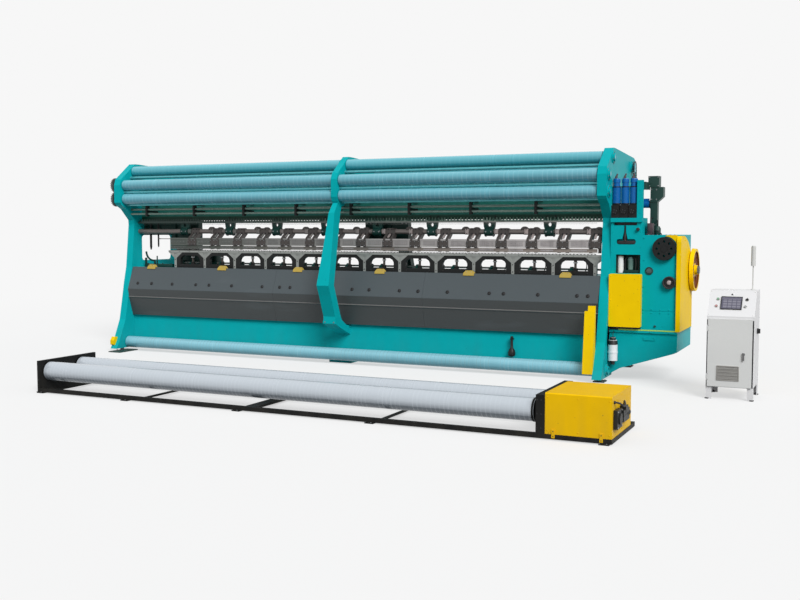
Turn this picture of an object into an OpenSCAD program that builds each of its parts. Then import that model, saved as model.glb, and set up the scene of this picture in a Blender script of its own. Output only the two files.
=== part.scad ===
// Warp knitting machine with its batching stand and control cabinet.
// Millimetres. X runs along the machine, -Y is the operator's side, +Z is up.
// The origin is on the floor under the middle of the machine, in the plane of the front covers' top edge.

/* [Machine] */
// Clear width between the two end frames
frame_gap = 6400; // [5200:100:8000]
// Height of the end frames
frame_h = 2500; // [2440:20:3000]
// Distance of the end frames' rear edge behind the front cover plane
frame_rear = 1240; // [1160:20:1600]
// Thickness of an end frame along the machine
frame_t = 100; // [90:5:120]
// Web left behind the pockets of an end frame
frame_web = 40; // [30:5:50]
// Height of the bed's top face above the floor
bed_top = 1115; // [1100:5:1160]
// Depth of the bed from its front wall to its rear wall
bed_depth = 660; // [560:20:760]
// Thickness of the bed's front skirt
skirt_t = 14; // [8:1:20]

/* [Yarn feed] */
// Radius of the three yarn feed rollers
feed_r = 68; // [60:1:72]
// Radius of a feed roller's journals
journal_r = 25; // [18:1:28]
// Radius of the rear feed roller
rear_r = 50; // [40:1:60]
// Distance between the axes of the two geared feed rollers
gear_centres = 183; // [180:1:200]
// Number of teeth on each feed gear
gear_teeth = 24; // [20:1:30]
// Width of a feed gear
gear_w = 30; // [24:1:44]
// Radius of the yarn deflecting rods
deflect_r = 18; // [12:1:20]
// Radius of the two yarn tension rods
tension_r = 14; // [10:1:15]
// Spacing of the tension rod brackets
bracket_pitch = 771; // [600:1:800]

/* [Knitting head] */
// Free bay between the left end frame and the knitting head
head_start = 600; // [560:10:660]
// Radius of the guide bars' swing shaft
swing_r = 30; // [24:1:32]
// Spacing of the hangers that carry the swing shaft
hanger_pitch = 715; // [660:5:760]
// Thickness of a rocker arm's two side plates
rocker_t = 30; // [20:2:36]
// Height of the upper guide bar
upper_guide_h = 95; // [80:1:100]
// Height of the lower guide bar
lower_guide_h = 40; // [30:1:44]
// Thickness of a guide bar
guide_t = 24; // [16:1:28]
// Spacing of the arch brackets on the bed
arch_pitch = 471; // [440:1:520]
// Height of an arch bracket
arch_h = 205; // [180:5:215]
// Thickness of an arch bracket
arch_t = 44; // [30:2:48]
// Radius of the needle bar's lifting rods
lift_r = 14; // [10:1:16]
// Upward travel of the needle bar
needle_stroke = 16; // [10:1:20]
// Spacing of the comb, guide and needle leads
lead_pitch = 40; // [32:1:64]

/* [Front covers] */
// Thickness of the cover sheet
cover_t = 4; // [2:0.5:6]
// Height of the covers' knee above the floor
knee_z = 830; // [780:5:860]
// How far the knee stands out in front of the top edge
knee_out = 110; // [80:5:120]
// Spacing of the yellow tabs
tab_pitch = 1137; // [1000:1:1200]

/* [Take-up] */
// Radius of the take-up roller
take_r = 74; // [60:1:76]
// Height of the take-up roller's axis
take_z = 117; // [105:1:125]

/* [Drive end] */
// Width of the side housing beside the right end frame
side_w = 335; // [300:5:360]
// Width of the drive housing
drive_w = 365; // [340:5:420]
// Depth of the drive housing
drive_d = 850; // [700:10:900]
// Radius of the pattern disc
disc_r = 122; // [100:1:130]
// Radius of the flywheel
fly_r = 233; // [180:1:240]
// Radius of the main shaft
shaft_r = 30; // [24:1:34]
// Radius of a let-off motor
motor_r = 42; // [34:1:44]

/* [Batching stand] */
// Length of the batching rollers
batch_l = 5085; // [4200:5:6000]
// Radius of the batching rollers
batch_r = 93; // [80:1:100]
// Depth of the batching stand
batch_d = 800; // [780:10:1000]
// Side of the stand's square tubes
tube_w = 38; // [34:2:60]
// Radius of a batching roller's journals
batch_journal_r = 30; // [20:1:34]

/* [Control cabinet] */
// Width of the cabinet
cab_w = 432; // [400:4:520]
// Depth of the cabinet
cab_d = 450; // [400:10:600]
// Height of the cabinet's door frame above the floor
cab_door_top = 785; // [700:5:800]
// Thickness of the cabinet's sheet walls
cab_wall = 3; // [2:0.5:5]
// Radius of the push buttons
button_r = 11; // [8:0.5:13]

/* [Hidden] */
$fn = 48;

// Radial clearance of a shaft in its bore, and the gap left between pieces that move past each other
running = 0.05;
gap = 0.3;

// Inner and outer faces of the end frames
inner_x = frame_gap / 2;
outer_x = inner_x + frame_t;

// Yarn feed positions in the frames' head, as Y and Z
top_axis = [60, frame_h - 102];
mid_axis = [-140, frame_h - 292];
low_axis = [-140, mid_axis[1] - gear_centres];
rear_axis = [960, frame_h - 160];
chain_axis = [1000, frame_h - 380];
deflect_axes = [
    [-10, frame_h - 188],
    [-140, (mid_axis[1] + low_axis[1]) / 2],
    [-85, low_axis[1] - 73]
];
tension_axes = [[-10, frame_h - 612], [-10, frame_h - 670]];
take_axis = [-120, take_z];
foot_z = 40;
bearing_w = 26;
sprocket_r = 62;
idler_r = 40;
stub_r = 10;
sprocket_w = 10;

// Upper beam and the pieces that hang from it
beam_y = 200;
beam_d = 150;
beam_top = frame_h - 512;
beam_bottom = frame_h - 760;
hanger_y = 130;
hanger_t = 40;
hanger_first = -4 * hanger_pitch + 435;
hanger_count = 8;
comb_t = 16;
bracket_first = -inner_x + 270;
bracket_count = floor((frame_gap - 400) / bracket_pitch) + 1;

// Knitting head positions
swing_axis = [150, bed_top + 482];
arch_y = 66;
arch_top = bed_top + arch_h;
head_x0 = -inner_x + head_start;
pillar_first = head_x0 + 64;
pillar_count = floor((inner_x - 67 - pillar_first) / arch_pitch) + 1;
pillar_w = 36;
chamfer = [92, 74];
knock_t = 25;
needle_y = arch_y + arch_t + 8;
needle_z = arch_top - 30;
needle_d = 24;
guide_y = 44;
lower_guide_z = arch_top + 51;
upper_guide_z = lower_guide_z + lower_guide_h + 6;
rocker_half = 47;
rocker_pitch = hanger_pitch / 2;
rocker_first = hanger_first + rocker_pitch / 2;
rocker_count = 2 * hanger_count;
lift_depth = 60;
bush_h = 72;
post_x = 30;
post_gap = 50;
support_x = 500;

// Front covers
seams = [-910, 1130];
ridge_z = knee_z - 108;
cover_bottom = 480;
bed_front = 20;
skirt_bottom = 140;
bed_bottom = 400;
post_foot_z = 505;

// Drive end
side_x0 = outer_x;
side_x1 = side_x0 + side_w;
drive_x1 = side_x1 + drive_w;
ledge_z = 548;
ledge_t = 24;
shelf_d = 260;
shelf_z = 1746;
drive_top = 1565;
main_axis = [650, 1180];
belt_t = 45;
disc_centre = [drive_x1 - 127, 1423];
wheel_centre = [drive_x1 - 72, 1067];

// Batching stand
batch_x0 = -1640;
batch_plate_l = 28;
batch_x1 = batch_x0 + batch_plate_l + 12 + batch_l + 35;
batch_plate_r = 74;
batch_y = -3300;
batch_end = batch_x1 + batch_plate_r + 524;
batch_front_axis = [batch_y + 140, 205];
batch_back_axis = [batch_y + 590, 203];
rail_z = 10;

// Control cabinet
cab_x = 4430;
cab_y = -800;
cab_bottom = 120;
console_run = 180;
console_rise = 237;
console_z = cab_door_top + 15;
console_tilt = atan2(console_run, console_rise);
cab_top = console_z + console_rise;
door_t = 18;
door_gap = 0.3;
door_x0 = cab_x + 12;
door_x1 = cab_x + cab_w - 14;
door_z0 = cab_bottom + 6;
door_z1 = cab_door_top - 12;
hinge_at = [door_x0 - 4, cab_y - door_gap - door_t / 2];

// ---------------------------------------------------------------- helpers

// A side outline in Y and Z, laid along X
module along_x(x0, length) {
    translate([x0, 0, 0]) rotate([90, 0, 90]) linear_extrude(length) children();
}

// A front outline in X and Z, laid along Y
module along_y(y0, length) {
    translate([0, y0 + length, 0]) rotate([90, 0, 0]) linear_extrude(length) children();
}

module rod_x(r, x0, x1, at) {
    translate([x0, at[0], at[1]]) rotate([0, 90, 0]) cylinder(r = r, h = x1 - x0);
}

module rod_y(r, y0, y1, at) {
    translate([at[0], y1, at[1]]) rotate([90, 0, 0]) cylinder(r = r, h = y1 - y0);
}

module rod_z(r, z0, z1, at) {
    translate([at[0], at[1], z0]) cylinder(r = r, h = z1 - z0);
}

module block(low, high) {
    translate(low) cube(high - low);
}

function arc(c, r, from, to, n = 4) =
    [for (i = [0:n]) c + r * [cos(from + (to - from) * i / n), sin(from + (to - from) * i / n)]];

function round_rect(x0, y0, x1, y1, r) = concat(
    arc([x1 - r, y1 - r], r, 0, 90),
    arc([x0 + r, y1 - r], r, 90, 180),
    arc([x0 + r, y0 + r], r, 180, 270),
    arc([x1 - r, y0 + r], r, 270, 360)
);

function unit(v) = v / norm(v);
function side_of(a, b) = let (d = unit(b - a)) [-d[1], d[0]];
function miter(p, i) =
    i == 0 ? side_of(p[0], p[1]) :
    i == len(p) - 1 ? side_of(p[i - 1], p[i]) :
    let (n1 = side_of(p[i - 1], p[i]), m = unit(n1 + side_of(p[i], p[i + 1]))) m / (m * n1);

// Section of a folded sheet of thickness t along the fold line p
function folded(p, t) = concat(p, [for (i = [len(p) - 1:-1:0]) p[i] + t * miter(p, i)]);

// Outline of a belt or chain round two wheels, as Y and Z
function loop_outline(c1, r1, c2, r2, n = 14) =
    let (
        d = c2 - c1,
        heading = atan2(d[1], d[0]),
        lean = acos((r1 - r2) / norm(d))
    )
    concat(
        arc(c1, r1, heading + lean, heading + 360 - lean, n),
        arc(c2, r2, heading - lean, heading + lean, n)
    );

// Outline of a toothed wheel: root and tip radii, and the half angles of a tooth there
function toothed(teeth, root, tip, root_half, tip_half, turn = 0) =
    [for (i = [0:teeth - 1], k = [[root, -root_half], [tip, -tip_half], [tip, tip_half], [root, root_half]])
        let (a = turn + i * 360 / teeth + k[1]) k[0] * [cos(a), sin(a)]];

// ---------------------------------------------------------------- frames and bed

function frame_outline() = [
    [-360, foot_z], [-300, 130], [-170, 420], [-120, 660], [-70, 915], [-20, 1120],
    [45, frame_h - 810], [40, frame_h - 750], [-105, frame_h - 606], [-200, frame_h - 556],
    [-230, frame_h - 522], [-230, frame_h - 292], [-200, frame_h - 212], [80, frame_h],
    [165, frame_h], [frame_rear - 160, frame_h - 48], [frame_rear - 50, frame_h - 85],
    [frame_rear, frame_h - 170], [frame_rear, foot_z], [frame_rear - 240, foot_z],
    [frame_rear - 260, 150], [frame_rear - 300, 190], [180, 190], [140, 150], [120, foot_z]
];

// One end frame casting with its pockets on the side that faces +X
module end_frame_body(open_left) {
    pocket = frame_t - frame_web;
    difference() {
        union() {
            along_x(0, frame_t) polygon(frame_outline());
            for (axis = [top_axis, mid_axis, low_axis, rear_axis, take_axis])
                rod_x(journal_r + 20, frame_t, frame_t + bearing_w, axis);
        }
        for (axis = [top_axis, mid_axis, low_axis, rear_axis, take_axis])
            rod_x(journal_r + running, -1, frame_t + bearing_w + 1, axis);
        rod_x(swing_r + running, -1, 52, swing_axis);
        if (open_left) {
            along_x(-1, frame_t + 2)
                polygon(round_rect(195, bed_top + 85, frame_rear - 310, bed_top + 430, 45));
            along_x(frame_web, pocket + 1)
                polygon([[260, frame_h - 520], [880, frame_h - 520], [880, frame_h - 100],
                    [260, frame_h - 70]]);
        }
        along_x(frame_web, pocket + 1)
            polygon([[110, bed_top + 525], [frame_rear - 60, bed_top + 480],
                [frame_rear - 60, frame_h - 590], [50, frame_h - 590]]);
        along_x(frame_web, pocket + 1)
            polygon([[-20, 720], [frame_rear - 60, 720], [frame_rear - 60, bed_top + 20],
                [50, bed_top + 20]]);
        along_x(frame_web, pocket + 1)
            polygon([[-110, 420], [-70, 660], [frame_rear - 60, 660], [frame_rear - 60, 250],
                [-40, 250]]);
    }
}

module right_end_frame() {
    color("darkcyan") translate([inner_x, 0, 0]) difference() {
        end_frame_body(false);
        rod_x(shaft_r + running, 10, frame_t + 1, main_axis);
        rod_x(stub_r + running, frame_t - 32, frame_t + 1, chain_axis);
    }
}

module left_end_frame() {
    color("darkcyan") translate([-inner_x, 0, 0]) mirror([1, 0, 0]) end_frame_body(true);
}

// The post's head is narrow, and its limb widens from the head down to the knee
module centre_post() {
    head = [
        [-150, frame_h - 592], [-200, frame_h - 540], [-222, frame_h - 490], [-222, frame_h - 280],
        [-186, frame_h - 205], [80, frame_h], [165, frame_h], [700, frame_h - 28],
        [760, frame_h - 75], [760, beam_top], [90, beam_top], [-60, frame_h - 600]
    ];
    limb = [
        [-170, frame_h - 545], [-280, frame_h - 680], [-340, bed_top + 445], [-415, bed_top + 160],
        [-505, bed_top - 150], [-450, bed_top - 270], [-345, 590], [-345, post_foot_z],
        [-230, 450], [bed_front, 350], [bed_front, 460], [-60, 468], [-180, 540],
        [-215, 600], [-320, bed_top - 265], [-370, bed_top - 150], [-285, bed_top + 160],
        [-205, bed_top + 445], [-130, frame_h - 670], [-60, frame_h - 560]
    ];
    color("darkturquoise") translate([post_x, 0, 0]) difference() {
        union() {
            along_x(-40, 80) polygon(head);
            intersection() {
                along_x(-100, 200) polygon(limb);
                along_y(-600, 700) polygon([[-32, frame_h - 540], [-55, bed_top + 385],
                    [-80, bed_top - 120], [-80, 340], [80, 340], [80, bed_top - 120],
                    [55, bed_top + 385], [32, frame_h - 540]]);
            }
            along_x(-88, 176) polygon([[-345, 540], [-345, post_foot_z], [-230, 450],
                [bed_front, 350], [bed_front, 400], [-225, 480], [-325, 540]]);
        }
        for (axis = [top_axis, mid_axis, low_axis])
            rod_x(journal_r + 5 + running, -80, 80, axis);
        for (axis = deflect_axes)
            rod_x(deflect_r + 0.1, -80, 80, axis);
    }
}

module machine_bed() {
    color("darkturquoise") difference() {
        union() {
            along_x(-inner_x, frame_gap) polygon([
                [bed_front, bed_bottom], [bed_front, bed_top - 12], [bed_front + 12, bed_top],
                [bed_front + bed_depth - 40, bed_top], [bed_front + bed_depth, bed_top - 50],
                [bed_front + bed_depth, bed_bottom + 40], [bed_front + bed_depth - 60, bed_bottom]
            ]);
            along_x(-inner_x, frame_gap) polygon([
                [bed_front, skirt_bottom], [bed_front, bed_bottom + 5],
                [bed_front + skirt_t, bed_bottom + 5], [bed_front + skirt_t, skirt_bottom + 20],
                [bed_front + 60, skirt_bottom + 14], [bed_front + 60, skirt_bottom]
            ]);
            block([-110, bed_front + skirt_t + 60, 0], [110, bed_front + bed_depth - 80, bed_bottom + 5]);
            block([-150, -30, 0], [150, bed_front + bed_depth - 40, 30]);
        }
        for (i = [0:pillar_count - 2])
            rod_z(lift_r + running, bed_top - lift_depth - needle_stroke - 10, bed_top + 1,
                [pillar_first + (i + 0.5) * arch_pitch, needle_y + needle_d / 2]);
    }
}

module upper_beam() {
    color("darkslategray") difference() {
        block([-inner_x, beam_y, beam_bottom], [inner_x, beam_y + beam_d, beam_top]);
        block([-inner_x - 1, beam_y + 12, beam_bottom + 14],
            [inner_x + 1, beam_y + beam_d - 12, beam_top - 14]);
    }
}

module front_covers() {
    fold = [
        [60, bed_top], [0, bed_top + 1], [-knee_out, knee_z], [-knee_out + 20, ridge_z + 4],
        [-knee_out + 10, ridge_z - 2], [-knee_out + 22, ridge_z - 16], [-18, cover_bottom],
        [bed_front - gap, cover_bottom]
    ];
    ends = concat([-inner_x + 3], seams, [inner_x - 3]);
    color("dimgray") for (i = [0:len(ends) - 2])
        along_x(ends[i] + 1, ends[i + 1] - ends[i] - 2) polygon(folded(fold, -cover_t));
}

module cover_tabs() {
    z = bed_top + cover_t + 1.1;
    color("gold") for (i = [-2.5:1:2.5])
        translate([i * tab_pitch - 35, 0, 0]) intersection() {
            along_x(-70, 140) polygon([[34, z], [-5, z], [-15, z - 25], [-22, z - 23], [-12, z + 8],
                [-4, z + 34], [26, z + 34], [34, z + 26]]);
            along_y(-30, 70) polygon([[-66, z - 30], [66, z - 30], [64, z + 6], [40, z + 32], [38, z + 36],
                [-38, z + 36], [-40, z + 32], [-64, z + 6]]);
        }
}

// Foot plates and screws, the left front plate long enough for the batching stand's lane
module levelling_feet() {
    color("darkslategray") for (side = [-1, 1], y = [-190, frame_rear - 120]) {
        x = side * (inner_x + frame_t / 2);
        if (side < 0 && y < 0)
            block([x - 25, y - 240, 0], [x + 170, y + 115, 12]);
        else
            block([x - 60, y - 70, 0], [x + 60, y + 70, 12]);
        rod_z(16, 12, foot_z, [x, y]);
    }
}

// ---------------------------------------------------------------- yarn feed

// A feed roller with end journals and a middle journal in the centre post
module feed_roller(axis, left_end, right_end) {
    union() {
        rod_x(feed_r, -inner_x + 12, post_x - post_gap, axis);
        rod_x(feed_r, post_x + post_gap, inner_x - 12, axis);
        rod_x(journal_r + 5, post_x - post_gap - 4, post_x + post_gap + 4, axis);
        rod_x(journal_r, -outer_x - left_end, -inner_x + 14, axis);
        rod_x(journal_r, inner_x - 14, outer_x + right_end, axis);
    }
}

module feed_roller_top() {
    color("lightsteelblue") feed_roller(top_axis, bearing_w + 6, bearing_w - 1);
}

module feed_roller_mid() {
    color("lightsteelblue") feed_roller(mid_axis, bearing_w + gear_w + 10, bearing_w - 1);
}

module feed_roller_low() {
    color("lightsteelblue") feed_roller(low_axis, bearing_w + gear_w + 10, bearing_w - 1);
}

// A spur feed gear with lightening holes, bored for its journal
module feed_gear(axis, turn) {
    pitch_r = gear_centres / 2;
    module_size = gear_centres / gear_teeth;
    translate([-outer_x - bearing_w - gear_w - 4, axis[0], axis[1]])
        rotate([90, 0, 90]) difference() {
            linear_extrude(gear_w) polygon(toothed(gear_teeth, pitch_r - module_size * 1.05,
                pitch_r + module_size * 0.8, 85 / gear_teeth, 42 / gear_teeth, turn));
            translate([0, 0, -1]) cylinder(r = journal_r + running, h = gear_w + 2);
            translate([0, 0, -1]) difference() {
                cylinder(r = pitch_r - 22, h = 11);
                translate([0, 0, -1]) cylinder(r = journal_r + 14, h = 13);
            }
            for (a = [0:60:300])
                rotate(a + 30) translate([(pitch_r - 22 + journal_r + 14) / 2, 0, -1])
                    cylinder(r = 9, h = gear_w + 2);
        }
}

module feed_gear_mid() {
    color("dimgray") feed_gear(mid_axis, -90);
}

module feed_gear_low() {
    color("dimgray") feed_gear(low_axis, 90 + 180 / gear_teeth);
}

sprocket_x = outer_x + bearing_w + 6;

module sprocket(axis, r, teeth, bore) {
    translate([sprocket_x, axis[0], axis[1]]) rotate([90, 0, 90]) difference() {
        linear_extrude(sprocket_w) polygon(toothed(teeth, r - 7, r, 110 / teeth, 45 / teeth));
        translate([0, 0, -1]) cylinder(r = bore, h = sprocket_w + 2);
    }
}

module rear_feed_roller() {
    color("lightsteelblue") union() {
        rod_x(rear_r, -inner_x + 12, inner_x - 12, rear_axis);
        rod_x(journal_r, -outer_x - bearing_w + 1, -inner_x + 14, rear_axis);
        rod_x(journal_r, inner_x - 14, sprocket_x + sprocket_w + 4, rear_axis);
        sprocket(rear_axis, sprocket_r, 20, journal_r - 2);
    }
}

module chain_sprocket() {
    color("dimgray") union() {
        sprocket(chain_axis, idler_r, 13, 8);
        rod_x(stub_r, outer_x - 30, sprocket_x + sprocket_w + 3, chain_axis);
    }
}

module feed_chain() {
    inner = loop_outline(rear_axis, sprocket_r + 1, chain_axis, idler_r + 1);
    outer = loop_outline(rear_axis, sprocket_r + 9, chain_axis, idler_r + 9);
    color("darkslategray") along_x(sprocket_x - 3, sprocket_w + 6) difference() {
        polygon(outer);
        polygon(inner);
    }
}

module guide_rods() {
    color("lightsteelblue") {
        for (axis = deflect_axes)
            rod_x(deflect_r, -inner_x, inner_x, axis);
        for (axis = tension_axes)
            rod_x(tension_r, -inner_x, inner_x, axis);
    }
}

module rod_brackets() {
    top = tension_axes[0][1];
    low = tension_axes[1][1];
    front = tension_axes[0][0] - tension_r - 12;
    color("black") for (i = [0:bracket_count - 1])
        translate([bracket_first + i * bracket_pitch - 14, 0, 0]) difference() {
            along_x(0, 28) polygon([
                [front, low - 36], [front, top + 60], [front + 24, top + 76], [beam_y, top + 76],
                [beam_y, top + 48], [front + 54, top + 42], [front + 54, top - 18],
                [beam_y, top - 22], [beam_y, top - 42], [front + 54, top - 38],
                [front + 54, low - 22], [front + 40, low - 36]
            ]);
            for (axis = tension_axes)
                rod_x(tension_r + running, -1, 29, axis);
        }
}

module yarn_comb_rail() {
    lead_count = floor(frame_gap / lead_pitch) - 1;
    z0 = beam_bottom - 36;
    start = -lead_count * lead_pitch / 2;
    teeth = [for (i = [0:lead_count - 1], k = [[0.2, 0], [0.35, 30], [0.65, 30], [0.8, 0]])
        [start + (i + k[0]) * lead_pitch, z0 + 28 + k[1]]];
    color("silver") {
        along_y(hanger_y - comb_t, comb_t) polygon([[-inner_x, z0], [inner_x, z0],
            [inner_x, z0 + 16], [-inner_x, z0 + 16]]);
        along_y(hanger_y - comb_t + 5, 4) polygon(concat([[start, z0 + 16], [start, z0 + 28]], teeth,
            [[-start, z0 + 28], [-start, z0 + 16]]));
    }
}

// ---------------------------------------------------------------- knitting head

// Hangers that carry the swing shaft from the upper beam, and the beam's own support on the bed
module hanger_brackets() {
    eye_z = (beam_bottom + swing_axis[1]) / 2 + 10;
    color("darkgreen") for (i = [0:hanger_count - 1])
        translate([hanger_first + i * hanger_pitch, 0, 0]) difference() {
            union() {
                along_y(hanger_y, hanger_t) polygon([[-74, beam_bottom], [-66, eye_z - 20],
                    [-47, swing_axis[1]], [47, swing_axis[1]], [66, eye_z - 20], [74, beam_bottom]]);
                block([-74, hanger_y, beam_bottom - 16], [74, beam_y + beam_d, beam_bottom]);
                rod_x(swing_r + 20, -50, 50, swing_axis);
            }
            rod_x(swing_r + running, -100, 100, swing_axis);
            rod_y(22, hanger_y - 1, hanger_y + hanger_t + 1, [0, eye_z]);
        }
    color("darkgreen") translate([support_x, 0, 0]) difference() {
        along_y(beam_y + 40, 90) polygon([[-285, beam_bottom], [290, beam_bottom], [300, bed_top + 260],
            [350, bed_top], [175, bed_top], [165, bed_top + 245], [-285, bed_top + 255]]);
        for (x = [-190, 60])
            along_y(beam_y + 30, 30) polygon(round_rect(x, bed_top + 310, x + 190, beam_bottom - 60, 20));
    }
}

module swing_shaft() {
    color("silver") rod_x(swing_r, -inner_x - 50, inner_x + 50, swing_axis);
}

// One rocker arm: two side plates on a hub block, each plate holding both guide bars
module rocker_arm() {
    low_z = lower_guide_z - gap - 6;
    high_z = upper_guide_z + upper_guide_h;
    bar_back = guide_y + guide_t + gap;
    hub = swing_r + 8;
    y = swing_axis[0];
    z = swing_axis[1];
    difference() {
        union() {
            for (x = [-rocker_half, rocker_half])
                along_x(x - rocker_t / 2, rocker_t) polygon([
                    [guide_y, low_z], [guide_y, lower_guide_z + lower_guide_h + gap],
                    [guide_y - 9, lower_guide_z + lower_guide_h + gap + 1], [guide_y - 9, high_z - 30],
                    [guide_y - 3, high_z - 22], [guide_y - 3, high_z + gap], [guide_y + 8, high_z + 12],
                    [y - hub, z - 30], [y - hub, z + 10], [y + hub, z + 10], [y + hub, z - 34],
                    [bar_back + 44, high_z - 10], [bar_back + 24, high_z - 60],
                    [bar_back + 24, low_z + 12], [bar_back + 12, low_z]
                ]);
            block([-40, y - hub, z - 36], [40, y + hub, z + 42]);
            rod_x(hub, -rocker_half - rocker_t / 2 - 1, rocker_half + rocker_t / 2 + 1, swing_axis);
        }
        rod_x(swing_r + running, -90, 90, swing_axis);
        for (bar = [[lower_guide_z, lower_guide_h], [upper_guide_z, upper_guide_h]])
            block([-90, guide_y - gap, bar[0] - gap], [90, bar_back, bar[0] + bar[1] + gap]);
    }
}

// The clamp of a swing lever on the shaft, with its two round bosses
module swing_clamp() {
    y = swing_axis[0];
    z = swing_axis[1];
    difference() {
        union() {
            rod_y(46, y - 20, y + 20, [-115, z + 14]);
            rod_y(50, y - 20, y + 20, [22, z + 4]);
            block([-115, y - 20, z - 34], [22, y + 20, z + 40]);
        }
        rod_x(swing_r + running, -170, 90, swing_axis);
        rod_y(9, y - 21, y + 21, [-115, z + 45]);
    }
}

module rocker_arms() {
    color("slategray") for (i = [0:rocker_count - 1])
        translate([rocker_first + i * rocker_pitch, 0, 0]) {
            rocker_arm();
            if (i % 2 == 1) swing_clamp();
        }
}

module guide_bar(z, height) {
    groove = 3;
    rim = height / 5;
    along_x(head_x0, inner_x - 60 - head_x0) polygon([
        [guide_y, z], [guide_y + guide_t, z], [guide_y + guide_t, z + height], [guide_y, z + height],
        [guide_y, z + height - rim], [guide_y + groove, z + height - rim - 3],
        [guide_y + groove, z + rim + 3], [guide_y, z + rim]
    ]);
}

module guide_bar_upper() {
    color("gainsboro") guide_bar(upper_guide_z, upper_guide_h);
}

module guide_bar_lower() {
    color("gainsboro") guide_bar(lower_guide_z, lower_guide_h);
}

module needle_bar() {
    lead_count = floor((inner_x - 80 - head_x0) / lead_pitch);
    start = head_x0;
    end = start + lead_count * lead_pitch;
    top = needle_z + 42;
    y = needle_y + needle_d / 2;
    teeth = [for (i = [0:lead_count - 1], k = [[0.25, 0], [0.3, 20], [0.7, 20], [0.75, 0]])
        [start + (i + k[0]) * lead_pitch, top + k[1]]];
    color("lightgray") union() {
        block([start, needle_y, needle_z], [end, needle_y + needle_d, needle_z + 18]);
        along_y(needle_y + 8, 6) polygon(concat([[start, needle_z + 10], [start, top]], teeth,
            [[end, top], [end, needle_z + 10]]));
        for (i = [0:pillar_count - 2]) translate([pillar_first + (i + 0.5) * arch_pitch, 0, 0]) {
            rod_z(lift_r, bed_top - lift_depth, needle_z + 4, [0, y]);
            rod_z(lift_r + 4, needle_z - 24, needle_z + 2, [0, y]);
        }
    }
}

module knock_over_bar() {
    color("gray") block([pillar_first - pillar_w / 2 - chamfer[0], arch_y - 6, arch_top],
        [inner_x - 4, arch_y + arch_t + 2, arch_top + knock_t]);
}

// One arch casting with the guide bush of a lifting rod behind its window
module arch_bracket() {
    half = (arch_pitch - pillar_w) / 2;
    window = half - 62;
    z0 = bed_top;
    z1 = arch_top - 40;
    difference() {
        union() {
            along_y(arch_y, arch_t) polygon([[-half, z0], [half, z0], [half, arch_top - chamfer[1]],
                [half - chamfer[0], arch_top], [chamfer[0] - half, arch_top],
                [-half, arch_top - chamfer[1]]]);
            rod_z(lift_r + 13, z0, z0 + bush_h, [0, needle_y + needle_d / 2]);
            rod_z(lift_r + 19, z0, z0 + 14, [0, needle_y + needle_d / 2]);
        }
        along_y(arch_y - 1, arch_t + 2) polygon([[-window, z0 + 52], [window, z0 + 52], [window, z1 - 50],
            [window - 16, z1 - 20], [window - 50, z1], [50 - window, z1], [16 - window, z1 - 20],
            [-window, z1 - 50]]);
        rod_z(lift_r + running, z0 - 1, z0 + bush_h + 1, [0, needle_y + needle_d / 2]);
    }
}

module arch_brackets() {
    color("black") for (i = [0:pillar_count - 2])
        translate([pillar_first + (i + 0.5) * arch_pitch, 0, 0]) arch_bracket();
}

// Pillars that flare between the chamfered corners of two arches
module arch_pillars() {
    half = pillar_w / 2;
    z = arch_top - chamfer[1];
    color("silver") for (i = [0:pillar_count - 1])
        translate([pillar_first + i * arch_pitch, 0, 0]) difference() {
            along_y(arch_y, arch_t) polygon([[-half, bed_top], [half, bed_top], [half, z],
                [half + chamfer[0], arch_top], [-half - chamfer[0], arch_top], [-half, z]]);
            along_y(arch_y - 1, 9) polygon([[-28, arch_top - 14], [28, arch_top - 14], [0, z - 20]]);
            if (i == pillar_count - 1)
                block([inner_x - pillar_first - i * arch_pitch, 0, bed_top],
                    [inner_x, arch_y + arch_t + 1, arch_top + 1]);
        }
}

// ---------------------------------------------------------------- take-up

module take_up_roller() {
    color("lightskyblue") union() {
        rod_x(take_r, -inner_x + 12, inner_x - 12, take_axis);
        rod_x(journal_r, -outer_x - bearing_w + 1, -inner_x + 14, take_axis);
        rod_x(journal_r, inner_x - 14, outer_x - 1, take_axis);
    }
}

module take_up_guards() {
    back = take_axis[0] - take_r - 12;
    color("gold") along_x(inner_x - 110, 110)
        polygon([[back - 124, 90], [back - 44, 755], [back, 755], [back - 6, 90]]);
    color("black") along_x(inner_x - 76, 76)
        polygon([[back - 40, 755], [back - 30, 812], [back, 812], [back, 755]]);
    color("gold") along_x(-outer_x - 10, 60)
        polygon([[-330, 85], [-300, 130], [-273.2, 190], [-318, 196], [-352, 150], [-352, 95]]);
}

// ---------------------------------------------------------------- drive end

module side_housing() {
    lever_x = side_x0 + side_w * 0.45;
    color("darkturquoise") difference() {
        union() {
            block([side_x0, 0, ledge_z], [side_x1, drive_d, drive_top]);
            block([side_x0, 0, drive_top - 1], [side_x1, shelf_d, shelf_z - 44]);
            block([side_x0, -25, shelf_z - 44], [side_x1, shelf_d, shelf_z]);
            block([side_x1 - 62, 0, shelf_z - 1], [side_x1 - 3, 60, shelf_z + 400]);
            rod_y(20, -12, 1, [side_x1 - 43, shelf_z - 120]);
        }
        block([side_x0 + 33, -30, shelf_z - 78], [side_x1 - 58, 40, shelf_z - 46]);
        along_y(-1, 41) polygon([[lever_x - 10, shelf_z - 80], [lever_x + 10, shelf_z - 80],
            [lever_x + 13, shelf_z - 150], [lever_x + 30, shelf_z - 226], [lever_x - 30, shelf_z - 226],
            [lever_x - 13, shelf_z - 150]]);
        along_y(-1, 41) polygon(round_rect(side_x0 + 62, shelf_z - 282, side_x1 - 68, shelf_z - 224, 26));
        block([side_x0 + 58, -1, 1157], [side_x1 - 17, 130, 1355]);
        rod_x(shaft_r + running, side_x0 - 1, side_x1 + 1, main_axis);
    }
}

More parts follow.
